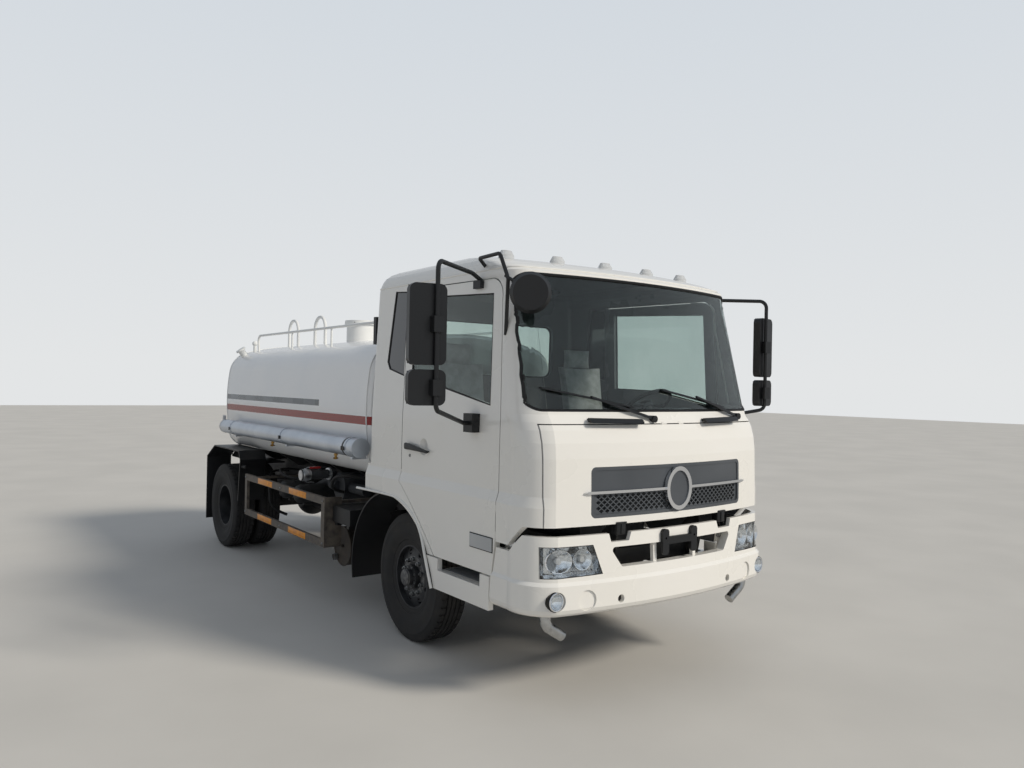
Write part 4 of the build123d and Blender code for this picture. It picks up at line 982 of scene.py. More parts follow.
# Lamps
@dataclass
class FrontLamps:
    """Headlamps and fog lamps: clear lenses, bright bowls and a dark edge.

    Each headlamp bowl is given by its x, its z, its half height and its width over its height. Sections are
    radius and distance along the lamp's axis.
    """

    lens: float = 0.003
    edge: float = 0.0035
    behind: float = 0.014
    depth: float = 0.044
    lamp_z: float = 0.82
    bowls: tuple[tuple[float, float, float, float], ...] = ((0.975, 0.955, 0.070, 1.3), (0.805, 0.958, 0.064, 1.0))
    bulb: Pair = (0.006, 0.036)
    ribs: int = 17
    rib_x: Pair = (0.700, 0.012)
    rib_z: Place = (0.862, 0.872, 0.888)
    fog: Pair = (1.010, 0.712)
    fog_ring: Section = ((0.049, 0.012), (0.049, -0.001), (0.0515, -0.006), (0.0565, -0.007), (0.0595, -0.003),
                         (0.0595, 0.012))
    fog_glass: Section = ((0.0, -0.0085), (0.016, -0.008), (0.032, -0.005), (0.044, -0.0015), (0.0495, 0.001))
    fog_gap: Section = ((0.0590, 0.012), (0.0590, 0.0005), (0.0645, 0.0005), (0.0645, 0.012))
    fog_bowl: Section = ((0.0, 0.034), (0.012, 0.0335), (0.024, 0.030), (0.036, 0.021), (0.0485, 0.004))

    def bowl(self, place: Vector, normal: Vector, radius: float, stretch: float, steps: int = 8) -> Piece:
        """Model one reflector bowl with a lip, behind a lens.

        Args:
            place: the point on the lens in front of its middle.
            normal: the lens's normal there.
            radius: its half height.
            stretch: its width over its height.
            steps: points of its section.

        Returns:
            The bowl.
        """
        profile = [(radius * k / steps, self.depth * (1 - (k / steps) ** 2)) for k in range(steps + 1)]
        made = spun("bowl", [*profile, (radius + 0.004, -0.001), (radius + 0.006, 0.003)], ORIGIN, UP)
        finished(made, "SOLIDIFY", thickness=0.0012)
        turn = (-normal).to_track_quat("Z", "Y").to_matrix().to_4x4() @ Matrix.Scale(stretch, 4, LEFT)
        return turned(made, Matrix.Translation(place - normal * self.behind) @ turn)

    def headlamp(self) -> list[tuple[Piece, Look]]:
        """Model the left headlamp's lens, edge, tub, bowls, bulbs and ribs.

        Returns:
            Each piece with its finish.
        """
        def in_lamp(face: Face) -> bool:
            """Say whether a face is the left headlamp's."""
            middle = face.calc_center_median()
            return middle.x > 0 and middle.z > self.lamp_z

        def is_front(face: Face) -> bool:
            """Say whether a face is on its lens."""
            return in_lamp(face) and face.normal.y < -0.35

        lens = skin_copy("front_lamps", "headlamp_lens_left", is_front)
        edge = rim_bead(skin_copy("front_lamps", "headlamp_edge_left", is_front), self.edge)
        finished(lens, "SOLIDIFY", thickness=self.lens, offset=-1.0)
        tub = skin_copy("front_lamps", "headlamp_tub_left", lambda face: in_lamp(face) and not is_front(face))
        bowls, bulbs, ribs = [], [], []
        for x, z, radius, stretch in self.bowls:
            place, normal = met("front_lamps", (x, IN_FRONT, z), AFT)
            bowls.append(self.bowl(place, normal, radius, stretch))
            tip, root = (tuple(place - normal * (self.behind + back)) for back in self.bulb)
            bulbs.append(bar("bulb", root, tip, 0.3 * radius, sides=20, round_by=0.004))
        low, middle, high = self.rib_z
        for k in range(self.ribs):
            x = self.rib_x[0] + self.rib_x[1] * k
            y = met("front_lamps", (x, IN_FRONT, middle), AFT)[0].y
            ribs.append(bar("rib", (x, y + 0.018, low), (x, y + 0.012, high), 0.003, sides=8))
        return [
            (lens, Look.LENS), (edge, Look.SEAL_RUBBER), (tub, Look.REFLECTOR),
            (joined("headlamp_bowls_left", bowls), Look.BOWL), (joined("headlamp_bulbs_left", bulbs), Look.PALE_LENS),
            (joined("headlamp_ribs_left", ribs), Look.REFLECTOR),
        ]

    def fog_lamp(self) -> list[tuple[Piece, Look]]:
        """Model the left fog lamp's ring, lens, dark gap and bowl.

        Returns:
            Each piece with its finish.
        """
        x, z = self.fog
        centre = tuple(met("front_lamps", (x, IN_FRONT, z), AFT)[0])
        ring, glass, gap, bowl = (
            spun(f"fog_{part}_left", section, centre, AFT) for part, section in
            (("ring", self.fog_ring), ("glass", self.fog_glass), ("gap", self.fog_gap), ("bowl", self.fog_bowl))
        )
        finished(glass, "SOLIDIFY", thickness=0.002)
        finished(bowl, "SOLIDIFY", thickness=0.001)
        return [(ring, Look.CHROME), (glass, Look.LENS), (gap, Look.SEAL_RUBBER), (bowl, Look.BOWL)]

    def dress(self) -> None:
        """Dress both headlamps and both fog lamps, in place of the CAD lamps."""
        for left, look in self.headlamp() + self.fog_lamp():
            stands_for = ("front_lamps",) if look is Look.LENS else ()
            dress_pair(left, look, body_of("front_lamps"), *stands_for)


# Cab
@dataclass
class CabFittings:
    """Door handles and locks, side lamps, latch blocks, fender lips, the drip rail and the step treads.

    Outlines on a flank are y and z. The three x of a handle are its feet's root and its grip's two faces, a foot is
    its two y and its top, and the latch block's boxes are given from its own middle across.
    """

    handle: Section = ((-2.040, 1.592), (-2.052, 1.600), (-2.140, 1.592), (-2.382, 1.560), (-2.390, 1.550),
                       (-2.382, 1.540), (-2.140, 1.548), (-2.052, 1.548), (-2.040, 1.556))
    handle_x: Place = (1.112, 1.146, 1.168)
    feet: tuple[Place, ...] = ((-2.088, -2.046, 1.586), (-2.380, -2.350, 1.556))
    foot_z: float = 1.547
    lock: Pair = (-2.082, 1.500)
    lock_section: Section = ((0.0, 0.003), (0.0045, 0.003), (0.005, 0.005), (0.011, 0.005), (0.0135, 0.0))
    side_lamp: tuple[Pair, Pair] = ((-3.256, 0.951), (-2.992, 1.041))
    frame_edge: float = 0.006
    latch_x: float = 0.504
    latch: tuple[Box, ...] = (
        ((-0.040, -3.806, 1.094), (0.040, -3.752, 1.176), 0.006),
        ((-0.006, -3.812, 1.098), (0.006, -3.800, 1.172), 0.003),
        ((-0.046, -3.812, 1.166), (0.046, -3.756, 1.180), 0.005),
    )
    arch: Section = ((-1.262, 1.159), (-1.700, 1.159), (-1.960, 1.153), (-2.170, 1.070), (-2.310, 0.930),
                     (-2.440, 0.760), (-2.531, 0.560))
    arch_x: float = 1.190
    drip_z: float = 2.862
    tread: Box = ((0.893, -3.122, 0.6985), (1.097, -2.592, 0.7025), 0.001)
    tread_ribs: tuple[float, ...] = tuple(0.905 + 0.018 * k for k in range(11))
    tread_y: Pair = (-3.115, -2.600)

    def doors(self) -> None:
        """Hang a black handle and a lock on each door."""
        x0, x1, x2 = self.handle_x
        grip = plate("grip", [(x1, y, z) for y, z in self.handle], (x2 - x1, 0, 0), 0.006)
        feet = [block("foot", (x0, y0, self.foot_z), (x1 + 0.004, y1, top), 0.004) for y0, y1, top in self.feet]
        handle = joined("door_handle_left", [grip, *feet])
        place, normal = met("door_left", (BESIDE, *self.lock), (-1, 0, 0))
        rose = spun("door_lock_left", self.lock_section, tuple(place), tuple(normal), steps=32)
        dress_pair(handle, Look.BLACK_PLASTIC, "door_left")
        dress_pair(rose, Look.NUT_STEEL, "door_left")

    def side_lamps(self) -> None:
        """Set a clear lamp in a dark frame low on each door."""
        (y0, z0), (y1, z1) = self.side_lamp
        edge = self.frame_edge
        rim = laid("side_lamp_frame_left", "door_left", (y0 - edge, z0 - edge), (y1 + edge, z1 + edge), 0.003)
        lens = rounded(laid("side_lamp_lens_left", "door_left", (y0, z0), (y1, z1), 0.008), 0.003)
        dress_pair(rim, Look.SEAL_RUBBER, "door_left")
        dress_pair(lens, Look.PALE_LENS, "door_left")

    def latches(self) -> None:
        """Set a ribbed latch block in each notch under the front panel."""
        shift = self.latch_x
        parts = [
            block("part", (shift + x0, *low), (shift + x1, *high), round_by)
            for (x0, *low), (x1, *high), round_by in self.latch
        ]
        dress_pair(joined("latch_block_left", parts), Look.BLACK_PLASTIC, "front_flap")

    def fender_lips(self) -> None:
        """Run a rolled lip along each wheel arch, no further out than the arch's own face."""
        points = []
        for y, z in self.arch:
            place, _ = met("cab_fenders", (BESIDE, y + 0.010, z + 0.012), (-1, 0, 0))
            points.append((min(place.x, self.arch_x) - 0.003, y, z))
        dress_pair(tube("fender_lip_left", points, 0.011), Look.CAB_PAINT, body_of("cab_fenders"))

    def drip_rail(self) -> None:
        """Run the gutter round the cab above the windows."""
        rail = copied(frame["nodes"]["cab_shell"], "drip_rail", Matrix.Identity(4))
        with editing(rail):
            bpy.ops.mesh.remove_doubles(threshold=0.05 * MM)
            bpy.ops.mesh.select_all(action="SELECT")
            bpy.ops.mesh.bisect(plane_co=(0, 0, self.drip_z), plane_no=UP, clear_inner=True, clear_outer=True)
            bpy.ops.mesh.select_all(action="DESELECT")
            bpy.ops.mesh.select_mode(type="VERT")
            mesh = bmesh.from_edit_mesh(rail.data)
            min(mesh.verts, key=lambda point: point.co.y).select_set(True)
            bmesh.update_edit_mesh(rail.data)
            bpy.ops.mesh.select_linked()
            bpy.ops.mesh.select_all(action="INVERT")
            bpy.ops.mesh.delete(type="VERT")
        dress(wired("drip_rail", rail, 0.008, 2), Look.CAB_PAINT, "cab")

    def treads(self) -> None:
        """Lay a ribbed tread on each step."""
        y0, y1 = self.tread_y
        z = self.tread[1][2]
        ribs = [bar("rib", (x, y0, z), (x, y1, z), 0.004, sides=8) for x in self.tread_ribs]
        dress_pair(joined("step_tread_left", [block("base", *self.tread), *ribs]), Look.TREAD, body_of("step_panels"))

    def dress(self) -> None:
        """Dress the cab's outside."""
        self.doors()
        self.side_lamps()
        self.latches()
        self.fender_lips()
        self.drip_rail()
        self.treads()


@dataclass
class Mirrors:
    """Mirror glasses in the four heads.

    A head is its middle's z and its height. A layer is its name, its finish, how far it stays from the head's
    sides and ends, how far it stands out and the radius of its edges.
    """

    head: Pair = (1.695, -3.266)
    turn: float = math.radians(12)
    wide: float = 0.245
    back: float = 0.031
    heads: Section = ((2.435, 0.510), (2.040, 0.225))
    layers: tuple[tuple[str, Look, float, float, float, float], ...] = (
        ("glass", Look.MIRROR, 0.014, 0.016, 0.002, 0.0015), ("lip", Look.BLACK_PLASTIC, 0.008, 0.010, 0.001, 0.001)
    )

    def dress(self) -> None:
        """Set a glass with a dark rim in the back of each head."""
        for middle, tall in self.heads:
            move = Matrix.Translation((*self.head, middle)) @ Matrix.Rotation(self.turn, 4, "Z")
            parts = []
            for layer, look, side, end, lift, round_by in self.layers:
                x, z = self.wide / 2 - side, tall / 2 - end
                low, high = (-x, self.back - 0.002, -z), (x, self.back + lift, z)
                part = block(f"mirror_{layer}_{round(1000 * tall)}_left", low, high, round_by)
                parts.append((turned(part, move), look))
            for left, look in parts:
                dress_pair(left, look, body_of("mirror_left"))


@dataclass
class CabInside:
    """Seats, steering wheel grip and dashboard detail.

    Boxes round the seats are given from the middle of the seat across.
    """

    seat_x: float = 0.660
    pads: tuple[tuple[str, Place, Place, int, float], ...] = (
        ("seat_cushion", (-0.225, -2.690, 1.505), (0.225, -2.160, 1.632), 2, 0.0),
        ("seat_back", (-0.220, -2.200, 1.610), (0.220, -2.060, 2.240), 1, 0.11),
        ("headrest", (-0.130, -2.035, 2.235), (0.130, -1.925, 2.400), 1, 0.0),
    )
    crown: Pair = (0.62, 0.38)
    seam: Place = (0.55, 0.05, 0.16)
    base: Box = ((-0.18, -2.590, 1.205), (0.18, -2.190, 1.500), 0.02)
    folds_z: tuple[float, ...] = (1.300, 1.340, 1.380, 1.420)
    wheel: Place = (0.660, -2.885, 1.917)
    wheel_tilt: float = math.radians(-37)
    wheel_pad: Section = ((0.058, 0.0), (0.057, 0.030), (0.045, 0.037), (0.0, 0.040))
    spokes_x: Pair = (-0.125, 0.125)
    vents_x: tuple[float, ...] = (-0.92, -0.35, -0.12, 0.95)
    slats_z: tuple[float, ...] = (1.712, 1.726, 1.740)

    def cushion(self, name: str, low: Place, high: Place, thin: int, lean: float) -> Piece:
        """Model a crowned cushion with pulled-in sides and two sewn channels.

        Args:
            name: its name.
            low: lowest corner of the space it fills.
            high: highest corner.
            thin: the axis across its thickness, 1 for a back and 2 for a seat.
            lean: how far its top lies further back.

        Returns:
            The cushion.
        """
        pad = block(name, low, high)
        with editing(pad):
            bpy.ops.mesh.subdivide(number_cuts=11)
        middle, half = (Vector(low) + Vector(high)) / 2, (Vector(high) - Vector(low)) / 2
        long = 3 - thin
        flat, rise = self.crown
        seam_at, seam_width, seam_depth = self.seam
        with editing(pad) as mesh:
            for point in mesh.verts:
                share = [(point.co[i] - middle[i]) / half[i] for i in range(3)]
                hump = (1 - share[0] ** 4) * (1 - share[long] ** 4)
                seam = math.exp(-((abs(share[0]) - seam_at) / seam_width) ** 2) * hump
                point.co[thin] = middle[thin] + half[thin] * share[thin] * (flat + rise * hump - seam_depth * seam)
                point.co[0] = middle[0] + half[0] * share[0] * (0.93 + 0.07 * share[long] ** 2)
                point.co[long] = middle[long] + half[long] * share[long] * (0.96 + 0.04 * share[0] ** 2)
                point.co[1] += lean * (share[2] + 1) / 2
            bmesh.update_edit_mesh(pad.data)
        return finished(rounded(pad, 0.012, 3), "SUBSURF", levels=1)

    def seats(self) -> None:
        """Model both seats in place of the CAD ones."""
        for side, sign in SIDES.items():
            x = sign * self.seat_x
            pads = [
                self.cushion(f"{name}_{side}", (x + x0, *low), (x + x1, *high), thin, lean)
                for name, (x0, *low), (x1, *high), thin, lean in self.pads
            ]
            for pad in pads:
                dress(pad, Look.SEAT_CLOTH, "cab", "seats")
            (x0, *low), (x1, *high), round_by = self.base
            base = block("base", (x + x0, *low), (x + x1, *high), round_by)
            folds = [block("fold", (x - 0.19, -2.600, z), (x + 0.19, -2.180, z + 0.022), 0.008) for z in self.folds_z]
            dress(joined(f"seat_base_{side}", [base, *folds]), Look.BLACK_PLASTIC, "cab", "seats")

    def steering(self) -> None:
        """Put the moulded grip and the centre pad on the steering wheel."""
        move = Matrix.Translation(self.wheel) @ Matrix.Rotation(self.wheel_tilt, 4, "X")
        rest()
        bpy.ops.mesh.primitive_torus_add(major_radius=0.210, minor_radius=0.0172, major_segments=72, minor_segments=14)
        grip = settled("grip")
        pad = spun("pad", self.wheel_pad, ORIGIN, UP)
        spokes = [
            block("spoke", (x - 0.078, -0.021, -0.009), (x + 0.078, 0.021, 0.009), 0.006) for x in self.spokes_x
        ]
        dress(turned(joined("steering_grip", [grip, pad, *spokes]), move), Look.BLACK_PLASTIC, "cab")

    def desk(self) -> None:
        """Put the binnacle, the vents and the middle panel on the dashboard."""
        hood = block("hood", (0.44, -3.215, 1.835), (0.88, -3.115, 1.905), 0.025, 3)
        vents = [block("vent", (x - 0.075, -3.136, 1.700), (x + 0.075, -3.124, 1.752), 0.004) for x in self.vents_x]
        slats = [
            bar("slat", (x - 0.068, -3.122, z), (x + 0.068, -3.122, z), 0.003, sides=8)
            for x in self.vents_x for z in self.slats_z
        ]
        panel = block("panel", (-0.42, -3.136, 1.560), (-0.05, -3.122, 1.680), 0.006)
        dress(joined("dashboard_fittings", [hood, *vents, *slats, panel]), Look.BLACK_PLASTIC, "cab")

    def dress(self) -> None:
        """Dress the cab's inside."""
        self.seats()
        self.steering()
        self.desk()


# Tank
@dataclass
class TankFittings:
    """Weld beads round the tank's ends and clamps on the lid."""

    ends: tuple[tuple[str, int, float], ...] = (("front", -1, 1.150), ("rear", 1, 2.850))
    lid: Place = (0.0, 1.200, 2.790)
    clamp_circle: float = 0.178
    clamps: int = 4

    def dress(self) -> None:
        """Run a weld bead round each end of the barrel and set swing bolts with hand knobs on the lid's rim."""
        for name, sign, reach in self.ends:
            dome = skin_copy(
                "tank_shell", f"tank_{name}_weld",
                lambda face: abs(face.normal.y) > 0.03 and all(sign * p.co.y > reach - 0.002 for p in face.verts),
            )
            dress(rim_bead(dome, 0.006), Look.TANK_FITTING, "chassis")
        x, y, z = self.lid
        knobs = []
        for k in range(self.clamps):
            angle = math.radians(45 + 90 * k)
            at_x, at_y = x + self.clamp_circle * math.cos(angle), y + self.clamp_circle * math.sin(angle)
            knobs += [
                bar("post", (at_x, at_y, z - 0.060), (at_x, at_y, z - 0.004), 0.007, sides=12),
                block("ear", (at_x - 0.020, at_y - 0.006, z - 0.020), (at_x + 0.020, at_y + 0.006, z - 0.010), 0.002),
            ]
        dress(joined("lid_clamps", knobs), Look.GALVANISED, "tank_lid")


# Flanks
@dataclass
class HoseTubes:
    """Straps, end caps, brass drain taps and the elbow on the hose tubes."""

    x: float = 1.150
    z: float = 1.492
    radius: float = 0.082
    straps: tuple[float, ...] = (-1.080, -1.040, 0.500, 2.170)
    front: float = -1.230
    back: float = 2.580
    elbow: tuple[Pair, ...] = ((2.625, 1.500), (2.664, 1.520), (2.660, 1.590), (2.652, 1.618))
    taps: Pair = (-0.725, 0.923)

    def dress(self) -> None:
        """Dress the tubes, with the elbow and the taps on the right one alone."""
        x, z, r = self.x, self.z, self.radius
        band = [(r + 0.0006, -0.011), (r + 0.0032, -0.011), (r + 0.0032, 0.011), (r + 0.0006, 0.011)]
        bands = []
        for y in self.straps:
            bands += [
                spun("band", [*band, band[0]], (x, y, z), AFT),
                block("buckle", (x + r - 0.004, y - 0.014, z - 0.026), (x + r + 0.011, y + 0.014, z + 0.010), 0.003),
            ]
        cap = [(0.0, -0.006), (0.058, -0.006), (0.062, -0.009), (r - 0.004, -0.009), (r + 0.002, -0.005),
               (r + 0.002, 0.022), (r, 0.022)]
        dome = [(r + 0.001, -0.030), (r + 0.001, 0.000), (r - 0.012, 0.026), (0.5 * r, 0.045), (0.0, 0.052)]
        lid = spun("hose_tube_cap_left", cap, (x, self.front, z), AFT)
        end = spun("hose_tube_dome_left", dome, (x, self.back, z), AFT)
        dress_pair(joined("hose_tube_straps_left", bands), Look.BLACK_PLASTIC)
        dress_pair(lid, Look.CAP_PAINT)
        dress_pair(end, Look.CAP_PAINT)
        dress_right(tube("tube_elbow_left", [(x, *point) for point in self.elbow], 0.020), Look.CAP_PAINT)
        taps = []
        low = z - r
        key = low - 0.044
        for y in self.taps:
            taps += [
                bar("stem", (x, y, low - 0.055), (x, y, low + 0.010), 0.012, sides=16, round_by=0.002),
                bar("key", (x - 0.024, y, key), (x + 0.024, y, key), 0.007, sides=12, round_by=0.002),
                bar("collar", (x, y, low - 0.020), (x, y, low - 0.004), 0.018, sides=6),
            ]
        dress_right(joined("drain_taps_left", taps), Look.BRASS)


@dataclass
class PumpSide:
    """Outlet coupling, valve lever, air tanks, hoses and silencer end on the right, modelled on the left."""

    outlet: Place = (1.100, 0.140, 1.120)
    outlet_section: Section = ((0.030, -0.060), (0.053, -0.060), (0.053, -0.046), (0.0575, -0.040), (0.0605, -0.030),
                               (0.0605, 0.020), (0.056, 0.030), (0.052, 0.034), (0.052, 0.040), (0.0, 0.040))
    arm: Section = ((0.012, 0.0), (0.030, 0.020), (0.075, 0.014), (0.105, 0.022))
    flange_x: float = 0.830
    flange: Pair = (0.088, 0.062)
    tanks: tuple[Place, ...] = ((0.740, 1.060, 0.860), (0.740, 0.640, 0.860))
    tank_r: float = 0.100
    bands_x: Pair = (0.640, 0.850)
    hoses: tuple[tuple[Place, ...], ...] = (
        ((0.560, 2.000, 0.960), (0.860, 1.820, 1.020), (0.900, 1.690, 0.800), (0.900, 1.650, 0.560),
         (0.700, 1.640, 0.480)),
        ((0.560, 1.500, 1.020), (0.860, 1.480, 1.060), (0.900, 1.330, 1.010), (0.860, 1.150, 0.975),
         (0.740, 1.080, 0.955)),
        ((0.620, -0.090, 0.930), (0.900, -0.100, 0.960), (0.960, -0.220, 1.120), (0.900, -0.420, 1.170),
         (0.480, -0.520, 1.080)),
    )
    silencer: Place = (0.960, -0.520, 0.505)
    seam: Section = ((0.183, -0.003), (0.190, 0.004), (0.190, 0.012), (0.181, 0.014), (0.173, 0.006), (0.120, 0.002),
                     (0.030, 0.006), (0.0, 0.006))
    tip_at: Place = (1.000, -0.390, 0.380)
    tip: Section = ((0.0325, -0.030), (0.0335, -0.030), (0.0335, 0.004), (0.029, 0.004), (0.029, -0.010),
                    (0.0, -0.012))

    def coupling(self) -> None:
        """Model the cam coupling with its two arms, and the oval flange."""
        x, y, z = self.outlet
        pieces = [spun("body", self.outlet_section, (x, y, z))]
        for sign in (-1, 1):
            rise = z + sign * 0.058
            pieces += [
                tube("arm", [(x - back, y, rise + sign * out) for back, out in self.arm], 0.0055),
                bar("pin", (x - 0.010, y - 0.022, rise), (x - 0.010, y + 0.022, rise), 0.0065, sides=12),
            ]
        wide, tall = self.flange
        oval = [(self.flange_x, y + wide * math.cos(math.tau * k / 40), z + tall * math.sin(math.tau * k / 40))
                for k in range(40)]
        pieces.append(plate("flange", oval, (0.016, 0, 0), 0.002))
        pieces += [hex_bolt(0.011, 0.010, 0.006, (self.flange_x + 0.016, y + out, z)) for out in (-0.070, 0.070)]
        dress_right(joined("outlet_coupling_left", pieces), Look.COUPLING)

    def air_tanks(self) -> None:
        """Set the dished air tanks beside the frame."""
        r = self.tank_r
        half = [(0.0, 0.265), (0.035, 0.263), (0.070, 0.250), (r - 0.008, 0.228), (r, 0.200)]
        profile = [*half, *((q, -v) for q, v in reversed(half) if q != half[1][0])]
        band = [(r + 0.0005, -0.014), (r + 0.004, -0.014), (r + 0.004, 0.014), (r + 0.0005, 0.014)]
        pieces = []
        for x, y, z in self.tanks:
            pieces += [
                spun("tank", profile, (x, y, z)),
                spun("boss", [(0.016, 0.0), (0.016, 0.012), (0.0, 0.014)], (x + 0.263, y, z)),
                *(spun("band", band, (band_x, y, z)) for band_x in self.bands_x),
                block("shelf", (0.425, y - 0.020, 0.735), (0.900, y + 0.020, 0.758), 0.003),
            ]
        dress_right(joined("air_tanks_left", pieces), Look.CHASSIS)

    def dress(self) -> None:
        """Dress the pump side, with a red sleeve on the valve lever."""
        self.coupling()
        dress_right(block("lever_sleeve_left", (0.930, 0.123, 1.180), (1.046, 0.157, 1.200), 0.007, 3), Look.RED_GRIP)
        self.air_tanks()
        dress_right(joined("frame_hoses_left", [tube("hose", run, 0.016) for run in self.hoses]), Look.HOSE_RUBBER)
        x, y, z = self.silencer
        end = [spun("seam", self.seam, (x, y, z)), hex_bolt(0.016, 0.012, 0.008, (x + 0.006, y, z))]
        dress_right(joined("silencer_end_left", end), Look.HEAT_STEEL)
        dress_right(spun("silencer_tip_left", self.tip, self.tip_at), Look.NUT_STEEL)


@dataclass
class Guards:
    """Amber sheets and bolts on the side guards, side stalks and the tail lamps' ribs."""

    sheet_y: tuple[Pair, ...] = ((-0.150, 0.300), (0.790, 1.230))
    rails_z: tuple[Pair, ...] = ((0.527, 0.587), (0.923, 0.983))
    face_x: float = 1.195
    bolts_y: tuple[float, ...] = (-0.560, 0.540, 1.640)
    stalk: Pair = (1.165, 1.050)
    stalk_y: Pair = (1.870, 1.742)
    collars_y: tuple[float, ...] = (1.850, 1.825, 1.800)
    ribs_x: tuple[float, ...] = tuple(0.575 + 0.0125 * k for k in range(29))
    rib_y: float = 3.862
    rib_z: Pair = (0.615, 0.710)

    def dress(self) -> None:
        """Dress the guards and the tail."""
        face = self.face_x
        spots = [(y0, y1, z0, z1) for y0, y1 in self.sheet_y for z0, z1 in self.rails_z]
        sheets = [block("sheet", (face - 0.001, y0, z0), (face + 0.0015, y1, z1), 0.0006) for y0, y1, z0, z1 in spots]
        folds = [
            bar("fold", (face, y0, (z0 + z1) / 2), (face, y1, (z0 + z1) / 2), 0.003, sides=8)
            for y0, y1, z0, z1 in spots
        ]
        dress_pair(joined("amber_sheets_left", [*sheets, *folds]), Look.AMBER_SHEET)
        bolts = [
            hex_bolt(0.011, 0.009, 0.004, (face - 0.002, y, (z0 + z1) / 2))
            for y in self.bolts_y for z0, z1 in self.rails_z
        ]
        dress_pair(joined("guard_bolts_left", bolts), Look.NUT_STEEL)
        (x, z), (front, back) = self.stalk, self.stalk_y
        stalk = bar("stalk", (x, front, z), (x, back, z), 0.019, round_by=0.004)
        collars = [bar("collar", (x, y, z), (x, y - 0.010, z), 0.023, round_by=0.003) for y in self.collars_y]
        dress_pair(joined("side_stalk_left", [stalk, *collars]), Look.SEAL_RUBBER)
        low, high = self.rib_z
        ribs = [bar("rib", (x, self.rib_y, low), (x, self.rib_y, high), 0.002, sides=8) for x in self.ribs_x]
        dress_pair(joined("tail_lamp_ribs_left", ribs), Look.RED_LENS)


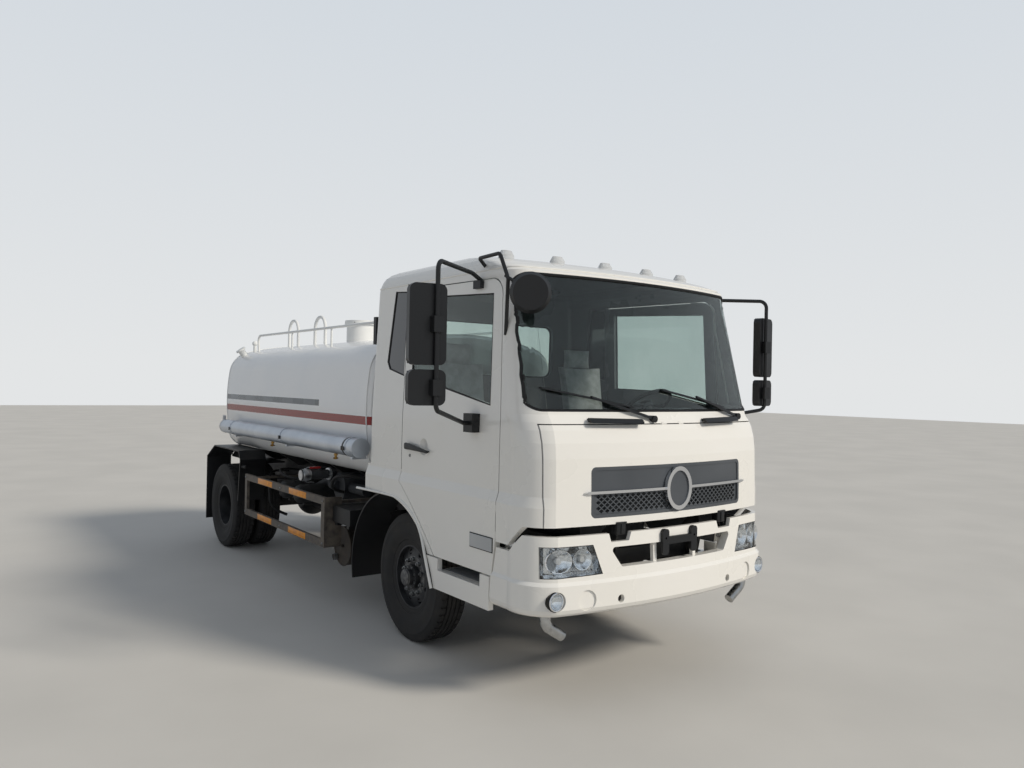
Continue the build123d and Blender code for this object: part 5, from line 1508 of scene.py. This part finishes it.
# Studio
@dataclass
class Studio:
    """Camera at the photograph's place, soft light, pale floor and pale surroundings. Turns are in degrees."""

    eye: Place = (-4.226, -7.609, 2.059)
    turns: Place = (36.398, 0.151, 1.104)
    focal_px: float = 800.4
    width_px: float = 1024.0
    sensor_mm: float = 36.0
    floor_half: float = 60.0
    sun_from: Place = (0.45, -0.80, 0.62)
    sun_strength: float = 2.5
    sun_colour: str = "#FFF7EA"
    sun_spread: float = math.radians(12)
    sky_light: float = 0.58
    mirrored_sky: float = 0.5
    horizon: str = "#E3E5E6"
    zenith: str = "#C3CEDA"
    glow: str = "#C3CBD6"

    def camera(self) -> None:
        """Set the camera up from its measured place, turns and focal length."""
        yaw, pitch, roll = (math.radians(angle) for angle in self.turns)
        ahead = Vector((math.sin(yaw) * math.cos(pitch), math.cos(yaw) * math.cos(pitch), math.sin(pitch)))
        level = Vector((math.cos(yaw), -math.sin(yaw), 0))
        above = level.cross(ahead)
        right = math.cos(roll) * level + math.sin(roll) * above
        up = math.cos(roll) * above - math.sin(roll) * level
        data = bpy.data.cameras.new("camera")
        data.sensor_width = self.sensor_mm
        data.lens = self.sensor_mm * self.focal_px / self.width_px
        camera = bpy.data.objects.new("camera", data)
        bpy.context.scene.collection.objects.link(camera)
        camera.matrix_world = Matrix.Translation(self.eye) @ Matrix((right, up, -ahead)).transposed().to_4x4()
        bpy.context.scene.camera = camera

    def key(self) -> None:
        """Add one broad lamp from the front left, which glass doesn't mirror."""
        lamp = bpy.data.lights.new("key", "SUN")
        lamp.energy, lamp.angle, lamp.color = self.sun_strength, self.sun_spread, linear(self.sun_colour)[:3]
        key = bpy.data.objects.new("key", lamp)
        key.visible_glossy = key.visible_transmission = False
        key.rotation_euler = Vector(self.sun_from).to_track_quat("Z", "Y").to_euler()
        bpy.context.scene.collection.objects.link(key)

    def sky(self) -> None:
        """Add an even sky that the camera, metal and glass see as pale."""
        world = bpy.data.worlds.new("studio")
        bpy.context.scene.world = world
        world.use_nodes = True
        tree = world.node_tree
        tree.nodes.clear()
        rays = add_node(tree, "ShaderNodeLightPath").node.outputs
        straight = add_node(
            tree, "ShaderNodeMath", {0: rays["Is Camera Ray"], 1: rays["Is Transmission Ray"]}, operation="MAXIMUM"
        )
        gloss = add_node(
            tree, "ShaderNodeMath", {0: rays["Is Glossy Ray"], 1: self.mirrored_sky}, operation="MULTIPLY"
        )
        seen = add_node(tree, "ShaderNodeMath", {0: straight, 1: gloss}, operation="MAXIMUM")
        where = add_node(tree, "ShaderNodeTexCoord", out="Generated")
        height = add_node(tree, "ShaderNodeSeparateXYZ", {"Vector": where}, "Z")
        climb = add_node(tree, "ShaderNodeMapRange", {"Value": height, "From Min": 0.02, "From Max": 0.8})
        low, high = linear(self.horizon), linear(self.zenith)
        pale = add_node(tree, "ShaderNodeMixRGB", {"Fac": climb, "Color1": low, "Color2": high})
        lit = add_node(tree, "ShaderNodeBackground", {"Color": linear(self.glow), "Strength": self.sky_light})
        shown = add_node(tree, "ShaderNodeBackground", {"Color": pale, "Strength": 1.0})
        both = add_node(tree, "ShaderNodeMixShader", {0: seen, 1: lit, 2: shown})
        feed(tree, tree.nodes.new("ShaderNodeOutputWorld"), {"Surface": both})

    def floor(self) -> None:
        """Lay the pale floor."""
        rest()
        bpy.ops.mesh.primitive_plane_add(size=2 * self.floor_half)
        floor = settled("studio_floor")
        floor.data.materials.append(Look.FLOOR.value.material())

    def dress(self) -> None:
        """Set up the view, its light and its floor."""
        bpy.context.scene.view_settings.view_transform = "Standard"
        self.camera()
        self.key()
        self.sky()
        self.floor()


def paint_nodes() -> None:
    """Give every CAD node its finish."""
    unpainted = set(frame["nodes"])
    for look, names in NODE_LOOKS.items():
        for name in names.split():
            materials = frame["nodes"][name].data.materials
            materials.clear()
            materials.append(look.value.material())
            unpainted.discard(name)
    if unpainted:
        LOG.warning("no finish for %s", sorted(unpainted))


def main() -> None:
    """Build the studio and every piece."""
    logging.basicConfig(level=logging.INFO, format="%(name)s: %(message)s")
    Studio().dress()
    paint_nodes()
    front = WheelFittings("front", 0.999, 1.037, 1.087, 0.062, 0.079, 8)
    rear = WheelFittings("rear", 0.9085, 1.0115, 1.0365, 0.080, 0.099, 10)
    for group in (Tyres(), front, rear, Seals(), FrontLamps(), CabFittings(), Mirrors(), CabInside(), TankFittings(),
                  HoseTubes(), PumpSide(), Guards()):
        group.dress()


if __name__ == "__main__":
    main()
